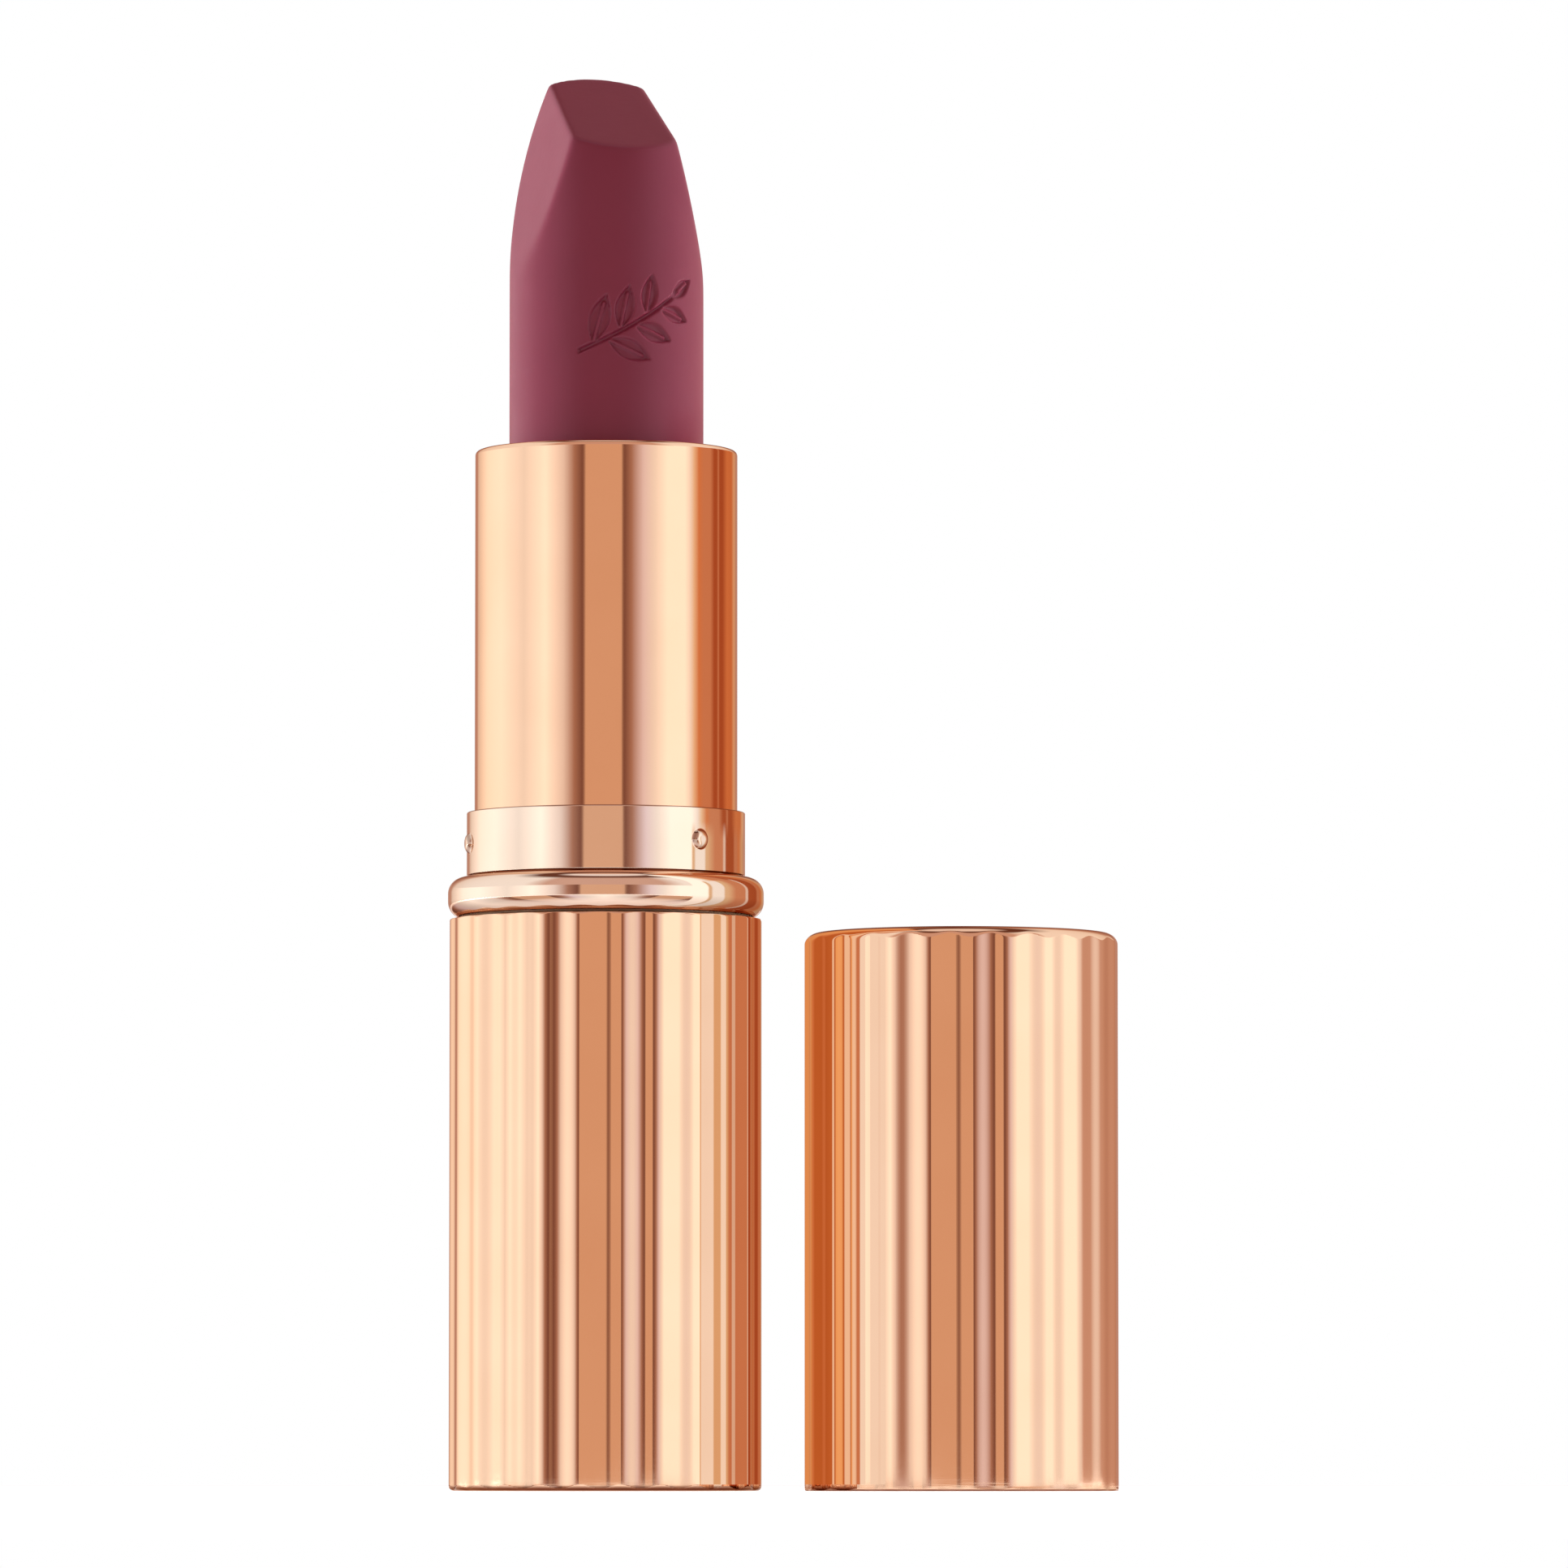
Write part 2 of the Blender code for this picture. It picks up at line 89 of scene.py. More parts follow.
# %% [markdown]
# ## Short ways to write nodes
#
# Worlds, materials and Geometry Nodes are all trees of nodes, and by hand each is a few clicks. In a script
# the same clicks repeat hundreds of times, so a few small helpers take them over: they feed a socket, add
# a node, do sums, measure where a value lies in a range or round an axis, mix two colours, and start a
# material or a group with named sockets. A Mix node has the same names on its sockets for values and for
# colours, so those for colours go by number.

# %% Node helpers
MIX_SHARE, MIX_FIRST, MIX_SECOND, MIX_RESULT = 0, 6, 7, 2


def feed(tree, socket, value):
    """Links a socket to another socket, or sets it to a plain value."""
    if isinstance(value, bpy.types.NodeSocket):
        tree.links.new(value, socket)
    else:
        socket.default_value = value


def add_node(tree, kind, inputs=(), **settings):
    """A node with its settings and its inputs, named or numbered."""
    made = tree.nodes.new(kind)
    for name, value in settings.items():
        setattr(made, name, value)
    for key, value in dict(inputs).items():
        feed(tree, made.inputs[key], value)
    return made


def maths(tree, operation, *values):
    return add_node(tree, "ShaderNodeMath", enumerate(values), operation=operation).outputs[0]


def spread(tree, value, start, end, low=0.0, high=1.0):
    """Where a value lies between two others, as a number from low to high."""
    limits = {"Value": value, "From Min": start, "From Max": end, "To Min": low, "To Max": high}
    return add_node(tree, "ShaderNodeMapRange", limits).outputs[0]


def round_axis(tree, x, y):
    """How far out a place lies, and its angle from the front towards +X."""
    reach = maths(tree, "SQRT", maths(tree, "ADD", maths(tree, "POWER", x, 2), maths(tree, "POWER", y, 2)))
    return reach, maths(tree, "ARCTAN2", x, maths(tree, "MULTIPLY", y, -1))


def tinted(tree, share, first, second):
    """A colour between two others, by a share that changes over the surface."""
    colours = {MIX_SHARE: share, MIX_FIRST: first, MIX_SECOND: second}
    return add_node(tree, "ShaderNodeMix", colours, data_type="RGBA").outputs[MIX_RESULT]


# %% Start a material or a group
def new_material(name, sockets=()):
    """A material with plain values in some sockets: itself, its tree and its shader's sockets."""
    material = bpy.data.materials.new(name)
    material.use_nodes = True
    tree = material.node_tree
    shader = tree.nodes["Principled BSDF"].inputs
    for title, value in dict(sockets).items():
        shader[title].default_value = value
    return material, tree, shader


def new_group(name, kind, inputs, outputs):
    """A group with named sockets: its tree, what it is given and what it has to put out."""
    tree = bpy.data.node_groups.new(name, kind)
    for way, sockets in (("INPUT", inputs), ("OUTPUT", outputs)):
        for title, socket in sockets.items():
            tree.interface.new_socket(title, in_out=way, socket_type=f"NodeSocket{socket}")
    return tree, tree.nodes.new("NodeGroupInput").outputs, tree.nodes.new("NodeGroupOutput").inputs


# %% [markdown]
# ## A white room
#
# The picture has a plain white ground. More light would also whiten it, but it would wash out the object,
# so the world is white only for what the camera, a mirror or glass looks at, and gives a softer light to
# everything else. Light Path tells these rays apart. The floor does the same with a little glow of its own,
# so it reads as white and still takes the shadow at the foot of the case.

# %% White world
WHITE = (1, 1, 1, 1)
WORLD_LIGHT = 0.55


def looked_at(tree):
    """1 where a ray comes from the camera, a mirror or glass, and 0 elsewhere."""
    path = add_node(tree, "ShaderNodeLightPath").outputs
    seen = maths(tree, "MAXIMUM", path["Is Camera Ray"], path["Is Glossy Ray"])
    return maths(tree, "MAXIMUM", seen, path["Is Transmission Ray"])


def white_world():
    world = bpy.data.worlds.new("white_room")
    world.use_nodes = True
    tree = world.node_tree
    background = tree.nodes["Background"].inputs
    background["Color"].default_value = WHITE
    feed(tree, background["Strength"], spread(tree, looked_at(tree), 0, 1, WORLD_LIGHT))
    scene.world = world


white_world()
print("world lights the case with", WORLD_LIGHT, "of its white")


# %% White floor
FLOOR_GLOW = 0.55
FLOOR_COLOUR = (0.84, 0.86, 0.88, 1)
FLOOR_ROUGHNESS = 0.9
FLOOR_HALF = 4.0
FLOOR_DROP = 0.02 * MM


def stage_mesh(name, points, faces, material):
    """A thing of the studio, which is no piece of the case."""
    mesh = bpy.data.meshes.new(name)
    mesh.from_pydata(points, [], faces)
    mesh.materials.append(material)
    made = bpy.data.objects.new(name, mesh)
    scene.collection.objects.link(made)
    return made


def white_floor():
    sockets = {"Base Color": FLOOR_COLOUR, "Roughness": FLOOR_ROUGHNESS, "Emission Color": WHITE}
    paint, tree, shader = new_material("floor_paint", {**sockets, "Specular IOR Level": 0})
    feed(tree, shader["Emission Strength"], maths(tree, "MULTIPLY", looked_at(tree), FLOOR_GLOW))
    corners = [(-1, -1), (1, -1), (1, 1), (-1, 1)]
    points = [(x * FLOOR_HALF, y * FLOOR_HALF, -FLOOR_DROP) for x, y in corners]
    stage_mesh("floor", points, [(0, 1, 2, 3)], paint)


white_floor()
print("floor is", 2 * FLOOR_HALF, "m wide")


# %% [markdown]
# ## The light tent
#
# A mirror has no look of its own: polished metal shows what stands round it. A photographer therefore builds
# the reflections, with a tan card behind the lens, dark flags on both sides of it, bright cloth to the left
# and right, and a roof with a dark rim that draws a thin line along every upper edge. Its middle is pale, so
# that flat tops stay gold from above. The same could be done with a dozen lamps and planes. Here it is one
# drum round the set, whose glow is a colour ramp over the compass. Every card or cloth is a colour with one
# angle or two from the front, in degrees towards the cap, and the ramp blends from each to the next. The
# cards end at one height, where the walls no longer see past them, and a second ramp holds the cloth above.
# The camera doesn't see the drum, so the ground stays white.

# %% Cards and cloth of the tent
BRIGHT = (1.28, 1.27, 1.24)
PALE = (0.97, 0.96, 0.95)
PINK = (0.88, 0.80, 0.79)
MAUVE = (0.84, 0.75, 0.84)
DUSK = (0.64, 0.42, 0.35)
TAN = (0.72, 0.45, 0.31)
BROWN = (0.42, 0.22, 0.16)
DARK = (0.18, 0.07, 0.05)
ROOF = (0.14, 0.05, 0.03)
TENT_CARDS = [
    (DUSK, -180, -157), (PALE, -150), (BRIGHT, -128, -104), (PALE, -76), (BRIGHT, -54), (PINK, -37),
    (BROWN, -27), (DARK, -18.8), (TAN, -17, 14.2), (DARK, 15.8), (BROWN, 23), (MAUVE, 34), (PALE, 44),
    (BRIGHT, 56, 78), (PALE, 90), (PINK, 100), (DUSK, 112, 180),
]
TENT_CLOTH = [
    (DARK, -180), (BROWN, -168), (DUSK, -158), (PALE, -148, -62), (DUSK, -45, 45), (PALE, 62, 148),
    (DUSK, 158), (BROWN, 168), (DARK, 180),
]
print("tent holds", len(TENT_CARDS), "cards below and", len(TENT_CLOTH), "cloths above")


# %% Glow of the tent
TENT_RADIUS = 0.95
TENT_HEIGHT = 2.0
CARD_TOP = 0.19
CARD_EDGE = 0.03
ROOF_START = 1.3
ROOF_MIDDLE = (0.44, 0.66)


def colour_ramp(tree, value, cards):
    """A colour for every value, from cards that each have a colour and one place or two."""
    stops = [(place, colour) for colour, *places in cards for place in places]
    low, high = stops[0][0], stops[-1][0]
    ramp = add_node(tree, "ShaderNodeValToRGB", {"Fac": spread(tree, value, low, high)})
    elements = ramp.color_ramp.elements
    elements.remove(elements[0])
    for i, (place, colour) in enumerate(stops):
        spot = (place - low) / (high - low)
        element = elements.new(spot) if i else elements[0]
        element.position = spot
        element.color = (*colour, 1)
    return ramp.outputs[0]


def glow(name):
    """A material that only gives light: itself, its tree, its place as x, y and z, and its colour socket."""
    material, tree, _ = new_material(name)
    tree.nodes.remove(tree.nodes["Principled BSDF"])
    place = add_node(tree, "ShaderNodeTexCoord").outputs["Object"]
    parts = add_node(tree, "ShaderNodeSeparateXYZ", {0: place}).outputs
    emission = add_node(tree, "ShaderNodeEmission")
    tree.links.new(emission.outputs[0], tree.nodes["Material Output"].inputs["Surface"])
    return material, tree, parts, emission.inputs["Color"]


def tent_glow():
    material, tree, (x, y, z), colour = glow("tent_glow")
    reach, compass = round_axis(tree, x, y)
    angle = maths(tree, "DEGREES", compass)
    cards, cloth = [colour_ramp(tree, angle, hung) for hung in (TENT_CARDS, TENT_CLOTH)]
    walls = tinted(tree, spread(tree, z, CARD_TOP, CARD_TOP + CARD_EDGE), cards, cloth)
    roof = tinted(tree, spread(tree, reach, *ROOF_MIDDLE), (*PINK, 1), (*ROOF, 1))
    tree.links.new(tinted(tree, spread(tree, z, ROOF_START, TENT_HEIGHT), walls, roof), colour)
    return material


# %% Put up the tent
STAGE_SIDES = 180


def hide(made, *rays):
    """Hides a thing of the studio from some kinds of rays."""
    for ray in rays:
        setattr(made, f"visible_{ray}", False)


def even_turns(count):
    return [math.tau * i / count for i in range(count)]


def spun(outline, turns, axis=0.0):
    """Points of an outline of radius and height, each taken to every turn round an upright axis."""
    ways = [(math.sin(turn), -math.cos(turn)) for turn in turns]
    return [(axis + radius * x, radius * y, height) for radius, height in outline for x, y in ways]


def net(rows, columns, closed=False):
    """Faces between rows of points that close round. In a closed net the last row meets the first."""
    faces = []
    for row in range(rows if closed else rows - 1):
        here, there = row * columns, (row + 1) % rows * columns
        for column in range(columns):
            after = (column + 1) % columns
            faces.append((here + column, here + after, there + after, there + column))
    return faces


def band(*circles):
    """Points and faces between two circles, each with a radius and a height."""
    return spun(circles, even_turns(STAGE_SIDES)), net(len(circles), STAGE_SIDES)


def light_tent():
    points, walls = band((TENT_RADIUS, 0), (TENT_RADIUS, TENT_HEIGHT))
    roof = tuple(range(STAGE_SIDES, 2 * STAGE_SIDES))
    hide(stage_mesh("light_tent", points, [*walls, roof], tent_glow()), "camera")


light_tent()
print("tent is", 2 * TENT_RADIUS, "m wide and", TENT_HEIGHT, "m high")


# %% [markdown]
# ## Cards on the floor
#
# Seen from above, an upright mirror shows the floor, and a white floor alone would wipe out the flutes. So
# cards lie round the case as well: one flat ring whose ramp runs three times round the compass. It turns
# clear close to the case and far away from it, so it has no edge, and only mirrors see it. It lies a little
# to the front, which keeps dark blots off the bead's round foot.

# %% Lay the ring of cards
RING_HEIGHT = 0.1 * MM
RING_FADE_IN = (18 * MM, 85 * MM)
RING_FADE_OUT = (320 * MM, 520 * MM)
RING_FRONT = 25 * MM
ALL_BUT_MIRRORS = ("camera", "diffuse", "shadow", "transmission")
RING_CARDS = [
    (BRIGHT, 0), (PALE, 16), (PINK, 26), (BROWN, 35), (DARK, 42), (TAN, 44, 74), (DARK, 76), (BROWN, 84),
    (MAUVE, 93), (PALE, 104), (BRIGHT, 120),
]


def ring_glow():
    material, tree, (x, y, _), colour = glow("ring_glow")
    reach, compass = round_axis(tree, x, y)
    third = maths(tree, "WRAP", maths(tree, "DEGREES", compass), RING_CARDS[-1][-1], 0)
    tree.links.new(colour_ramp(tree, third, RING_CARDS), colour)
    near, far = spread(tree, reach, *RING_FADE_IN), spread(tree, reach, *RING_FADE_OUT, 1, 0)
    clear = add_node(tree, "ShaderNodeBsdfTransparent").outputs[0]
    shown = {0: maths(tree, "MINIMUM", near, far), 1: clear, 2: tree.nodes["Emission"].outputs[0]}
    mixed = add_node(tree, "ShaderNodeMixShader", shown).outputs[0]
    tree.links.new(mixed, tree.nodes["Material Output"].inputs["Surface"])
    return material


def floor_ring():
    points, faces = band((RING_FADE_IN[0], RING_HEIGHT), (RING_FADE_OUT[1], RING_HEIGHT))
    ring = stage_mesh("floor_ring", points, faces, ring_glow())
    ring.location.y = -RING_FRONT
    hide(ring, *ALL_BUT_MIRRORS)


floor_ring()
print("ring of cards reaches", round(RING_FADE_OUT[1] / MM), "mm")


# %% [markdown]
# ## Two lamps for the wax
#
# The tent alone lights the wax evenly from all round, which leaves it flat. Two large lamps, hardly higher
# than the case and a little behind it, brighten both sides of the stick and let its front fall off. They
# would show in the metal as white bars, so they are hidden from mirror reflections.

# %% Hang the lamps
LAMPS = {"left_lamp": (math.radians(-108), 6.8), "right_lamp": (math.radians(110), 5.8)}
LAMP_REACH = 0.8
LAMP_HEIGHT = 0.14
LAMP_SIZE = 0.25


def side_lamp(name, turn, power):
    lamp = bpy.data.lights.new(name, "AREA")
    lamp.size = LAMP_SIZE
    lamp.energy = power
    holder = bpy.data.objects.new(name, lamp)
    aim(holder, Vector((LAMP_REACH * math.sin(turn), -LAMP_REACH * math.cos(turn), LAMP_HEIGHT)))
    hide(holder, "camera", "glossy")


for name, (turn, power) in LAMPS.items():
    side_lamp(name, turn, power)
print("lamps:", list(LAMPS))


# %% [markdown]
# ## An amber card
#
# The right side of the case shows deep amber stripes over its whole height, as metal does beside more of the
# same metal. The cap is too low to give them to the sleeve, and an orange cloth in the tent would colour the
# cap's far side as well. So a narrow card stands in the gap between case and cap, where only their near sides
# see it. Three ramps, in mm, run across it from front to back: one for the fluted base, one for the smooth
# sleeve above it, and one on the other side for the cap. Geometry's Backfacing tells the two sides apart. The
# card is cut off from everything but mirror reflections, and neither lights nor shades the set.

# %% Stand up the amber card
AMBER_ACROSS = 11.2 * MM
AMBER_LOW = 0.4 * MM
AMBER_HIGH = 66 * MM
STRIPES_CHANGE = (40.5 * MM, 41.5 * MM)
HONEY = (0.86, 0.62, 0.42)
CARAMEL = (0.76, 0.52, 0.32)
ROSE = (0.80, 0.64, 0.57)
ORANGE = (0.62, 0.26, 0.14)
RUST = (0.42, 0.10, 0.035)
AMBER = (0.69, 0.25, 0.10)
PEACH = (0.94, 0.76, 0.62)
FLAME = (0.92, 0.51, 0.23)
EMBER = (0.56, 0.165, 0.045)
BASE_STRIPES = [
    (BRIGHT, -10.5, -8.2), (CARAMEL, -8.0, -7.7), (PALE, -7.5, -6.0), (CARAMEL, -5.8, -5.4),
    (ORANGE, -4.3, -2.9), (ROSE, -2.7, -2.4), (RUST, -2.3, -0.5), (ORANGE, 0.0, 0.7), (AMBER, 1.6),
    (CARAMEL, 3.5), (DUSK, 8.0),
]
SLEEVE_STRIPES = [
    (BRIGHT, -10.5, -8.2), (PALE, -7.2), (HONEY, -6.5), (AMBER, -5.7), (ORANGE, -4.9, -3.6),
    (RUST, -2.9, -2.3), (ORANGE, -2.0), (RUST, -1.7, -1.0), (AMBER, 0.4, 2.4), (HONEY, 4.6), (DUSK, 8.0),
]
CAP_STRIPES = [
    (PALE, -10.5, -9.2), (ORANGE, -8.9, -7.9), (PEACH, -7.2, -6.2), (FLAME, -5.9, -5.75), (EMBER, -5.6, -5.5),
    (PEACH, -5.35, -5.1), (EMBER, -4.9, -2.2), (AMBER, -1.6), (FLAME, 0.4, 8.0),
]


def amber_card():
    material, tree, (_, y, z), colour = glow("amber_glow")
    across = maths(tree, "DIVIDE", y, MM)
    ramps = [BASE_STRIPES, SLEEVE_STRIPES, CAP_STRIPES]
    base, sleeve, cap = [colour_ramp(tree, across, stripes) for stripes in ramps]
    case = tinted(tree, spread(tree, z, *STRIPES_CHANGE), base, sleeve)
    case_side = add_node(tree, "ShaderNodeNewGeometry").outputs["Backfacing"]
    tree.links.new(tinted(tree, case_side, cap, case), colour)
    front, back = CAP_STRIPES[0][1] * MM, CAP_STRIPES[-1][-1] * MM
    corners = [(front, AMBER_LOW), (back, AMBER_LOW), (back, AMBER_HIGH), (front, AMBER_HIGH)]
    points = [(AMBER_ACROSS, *corner) for corner in corners]
    hide(stage_mesh("amber_card", points, [(0, 1, 2, 3)], material), *ALL_BUT_MIRRORS)


amber_card()
print("amber card stands", round(AMBER_ACROSS / MM, 1), "mm from the axis")


# %% [markdown]
# ## Marks that several finishes share
#
# No surface is one flat value. Metal that has been handled has faint greasy clouds and a few wiping streaks,
# and mouldings and wax have a fine grain. Each of these two effects is made once as a node group, and the
# finishes below take it with their own scale. They could be painted as images, but noise on the piece's own
# coordinates needs no file and has no seam.

# %% Two shared groups
CLOUD_LIMITS = (0.38, 0.72)
STREAK_SQUASH = (0.06, 0.06, 1)


def mark_group(name, inputs, outputs):
    """A shader group whose sockets are all plain values."""
    sockets = [dict.fromkeys(titles, "Float") for titles in (inputs, outputs)]
    return new_group(name, "ShaderNodeTree", *sockets)


def handling_marks():
    """Clouds from fingers, and streaks from wiping round the axis."""
    scales = ("Cloud Scale", "Streak Scale")
    tree, given, result = mark_group("handling_marks", scales, ("Clouds", "Streaks"))
    place = add_node(tree, "ShaderNodeTexCoord").outputs["Object"]
    puffs = {"Vector": place, "Scale": given["Cloud Scale"], "Detail": 4}
    clouds = add_node(tree, "ShaderNodeTexNoise", puffs)
    squashed = add_node(tree, "ShaderNodeMapping", {"Vector": place, "Scale": STREAK_SQUASH})
    lines = {"Vector": squashed.outputs[0], "Scale": given["Streak Scale"], "Detail": 3, "Roughness": 0.6}
    streaks = add_node(tree, "ShaderNodeTexNoise", lines)
    tree.links.new(spread(tree, clouds.outputs[0], *CLOUD_LIMITS), result["Clouds"])
    tree.links.new(streaks.outputs[0], result["Streaks"])
    return tree


def fine_grain():
    """Even grain for bump, and slow mottling for colour."""
    tree, given, result = mark_group("fine_grain", ("Grain Scale", "Mottle Scale"), ("Grain", "Mottle"))
    place = add_node(tree, "ShaderNodeTexCoord").outputs["Object"]
    for name, detail in (("Grain", 2), ("Mottle", 4)):
        speckle = {"Vector": place, "Scale": given[f"{name} Scale"], "Detail": detail}
        tree.links.new(add_node(tree, "ShaderNodeTexNoise", speckle).outputs[0], result[name])
    return tree


MARKS = handling_marks()
GRAIN = fine_grain()
print("shared groups:", MARKS.name, "and", GRAIN.name)


# %% [markdown]
# ## Rose gold, and the plainer finishes
#
# The shells are drawn aluminium, polished and anodised rose gold. Anodising colours the mirror itself, so
# this is a metallic shader with a warm base colour and almost no roughness. The clouds make it a touch
# rougher where fingers have been. Edges that the polishing wheel reaches are a little brighter. Corners,
# crevices and the pips' steep sides get painted shade instead: a near-black gold that stands in for the
# shadow and dark reflections there. Each turned mesh carries both as an attribute called edge, above and
# below 0. Fluted and smooth shells differ only in how strong the marks are, and the bead and collar are
# anodised a paler rose. Seen at a slant, real coloured metal stays coloured, so the shader's rim tint is
# warm as well.
# Mouldings, steel, silicone, film and wax are made by a second recipe with grain.

# %% Metal recipe
GOLD = (0.95, 0.635, 0.445, 1)
GOLD_HANDLED = (0.93, 0.61, 0.42, 1)
PALE_GOLD = (0.95, 0.76, 0.63, 1)
PALE_GOLD_HANDLED = (0.93, 0.73, 0.59, 1)
GOLD_WORN = (0.97, 0.74, 0.56, 1)
GOLD_PAINTED_SHADE = (0.16, 0.035, 0.012, 1)
GOLD_RIM = (0.80, 0.62, 0.52, 1)
CLOUD_SCALE = 140
STREAK_SCALE = 2600


def bumped(tree, height, distance):
    """A normal that follows a height, which is worth a distance."""
    bump = {"Height": height, "Distance": distance, "Strength": 1.0}
    return add_node(tree, "ShaderNodeBump", bump).outputs[0]


def polished_gold(name, clean, touched, smooth, handled, streak_height):
    """Polished metal in two close colours, whose roughness runs from smooth to handled."""
    material, tree, shader = new_material(name, {"Metallic": 1, "Specular Tint": GOLD_RIM})
    scales = {"Cloud Scale": CLOUD_SCALE, "Streak Scale": STREAK_SCALE}
    marks = add_node(tree, "ShaderNodeGroup", scales, node_tree=MARKS).outputs
    edge = add_node(tree, "ShaderNodeAttribute", attribute_name="edge").outputs["Fac"]
    bright = tinted(tree, edge, tinted(tree, marks["Clouds"], clean, touched), GOLD_WORN)
    # Below 0 the edge mark blends to painted shade, a near-black gold that stands in for shadow and dark
    # reflections.
    feed(tree, shader["Base Color"], tinted(tree, maths(tree, "MULTIPLY", edge, -1), bright, GOLD_PAINTED_SHADE))
    feed(tree, shader["Roughness"], spread(tree, marks["Clouds"], 0, 1, smooth, handled))
    feed(tree, shader["Normal"], bumped(tree, marks["Streaks"], streak_height))
    return material


FLUTED_GOLD = polished_gold(
    "fluted_gold", GOLD, GOLD_HANDLED, smooth=0.015, handled=0.04, streak_height=0.0001 * MM
)
SMOOTH_GOLD = polished_gold(
    "smooth_gold", GOLD, GOLD_HANDLED, smooth=0.04, handled=0.08, streak_height=0.0003 * MM
)
COLLAR_GOLD = polished_gold(
    "collar_gold", PALE_GOLD, PALE_GOLD_HANDLED, smooth=0.05, handled=0.09, streak_height=0.0003 * MM
)
print("metals:", FLUTED_GOLD.name, SMOOTH_GOLD.name, COLLAR_GOLD.name)


# %% Recipe for everything that isn't mirror metal
MOTTLE_GRAINS = 12


def grained(name, light, dark, smooth, rough, grain_scale, grain_height, sockets):
    """A plain or waxy surface with mottled colour, uneven gloss and a fine grain."""
    material, tree, shader = new_material(name, sockets)
    scales = {"Grain Scale": grain_scale, "Mottle Scale": grain_scale / MOTTLE_GRAINS}
    grain = add_node(tree, "ShaderNodeGroup", scales, node_tree=GRAIN).outputs
    feed(tree, shader["Base Color"], tinted(tree, grain["Mottle"], light, dark))
    feed(tree, shader["Roughness"], spread(tree, grain["Mottle"], 0, 1, smooth, rough))
    feed(tree, shader["Normal"], bumped(tree, grain["Grain"], grain_height))
    return material


MOULDING = grained(
    "natural_moulding", light=(0.84, 0.82, 0.78, 1), dark=(0.74, 0.72, 0.67, 1), smooth=0.35, rough=0.5,
    grain_scale=3000, grain_height=0.004 * MM,
    sockets={"Subsurface Weight": 0.15, "Subsurface Scale": 0.8 * MM},
)
STEEL = grained(
    "turned_steel", light=(0.50, 0.50, 0.51, 1), dark=(0.38, 0.38, 0.39, 1), smooth=0.28, rough=0.5,
    grain_scale=1800, grain_height=0.006 * MM, sockets={"Metallic": 1},
)
SILICONE = grained(
    "frosted_silicone", light=(0.78, 0.78, 0.76, 1), dark=(0.68, 0.68, 0.66, 1), smooth=0.55, rough=0.75,
    grain_scale=4000, grain_height=0.003 * MM,
    sockets={"Subsurface Weight": 0.3, "Subsurface Scale": 0.6 * MM},
)
FILM = grained(
    "blank_film", light=(0.90, 0.87, 0.83, 1), dark=(0.82, 0.78, 0.74, 1), smooth=0.45, rough=0.65,
    grain_scale=5000, grain_height=0.002 * MM, sockets={"Specular IOR Level": 0.35},
)
print("mouldings, steel, silicone and film:", [made.name for made in (MOULDING, STEEL, SILICONE, FILM)])


# %% Wax
WAX_SOCKETS = {
    "Subsurface Weight": 0.2,
    "Subsurface Radius": (1.0, 0.25, 0.3),
    "Subsurface Scale": 0.6 * MM,
    "Specular IOR Level": 0.55,
    "Specular Tint": (1.0, 0.85, 1.0, 1),
    "Sheen Weight": 0.12,
    "Sheen Roughness": 0.4,
    "Sheen Tint": (1.0, 0.55, 0.72, 1),
}
WAX = grained(
    "berry_wax", light=(0.205, 0.013, 0.042, 1), dark=(0.18, 0.010, 0.035, 1), smooth=0.36, rough=0.48,
    grain_scale=2600, grain_height=0.004 * MM, sockets=WAX_SOCKETS,
)
print("wax:", WAX.name)


# %% [markdown]
# ## Turning a shell
#
# Every shell is turned, so each is an outline of radius and height spun round the axis. Screw would do that
# too, but a mirror shows every flaw: a sharp corner has no highlight, and a long wall beside a round one
# picks up a false bend from the averaged normals. So the outline first gets true arcs at its corners, then
# support rows close beside them, and only then is it spun. Points on an arc are marked as bright worn edge
# or as painted shade, a dark colour that stands in for the shadow in a corner.

# %% Outline with arcs and support rows
ARC_STEP = 0.08 * MM
LEAST_STEPS = 5
SUPPORT = 0.04 * MM
SHORTEST_RUN = 4 * SUPPORT
LONGEST_ROW = 1.5 * MM
WORN = 1
# Below 0 an edge mark is painted shade: the metal is drawn darker where shadow and dark reflections fall.
PAINTED_SHADE = -1

Corner = namedtuple("Corner", "radius height fillet edge", defaults=(0, 0))


def rounded(corners):
    """Outline points, each with its edge mark, from corners that have a radius of their own."""
    points = []
    for i, corner in enumerate(corners):
        here = Vector(corner[:2])
        if not corner.fillet:
            points.append((here, corner.edge))
            continue
        before = (Vector(corners[i - 1][:2]) - here).normalized()
        after = (Vector(corners[(i + 1) % len(corners)][:2]) - here).normalized()
        half = before.angle(after) / 2
        reach = corner.fillet / math.tan(half)
        centre = here + (before + after).normalized() * (corner.fillet / math.sin(half))
        start = (here + before * reach - centre).normalized()
        end = (here + after * reach - centre).normalized()
        steps = max(LEAST_STEPS, math.ceil(start.angle(end) * corner.fillet / ARC_STEP))
        for step in range(steps + 1):
            share = step / steps
            mark = corner.edge * math.sin(math.pi * share)
            points.append((centre + start.slerp(end, share) * corner.fillet, mark))
    return points


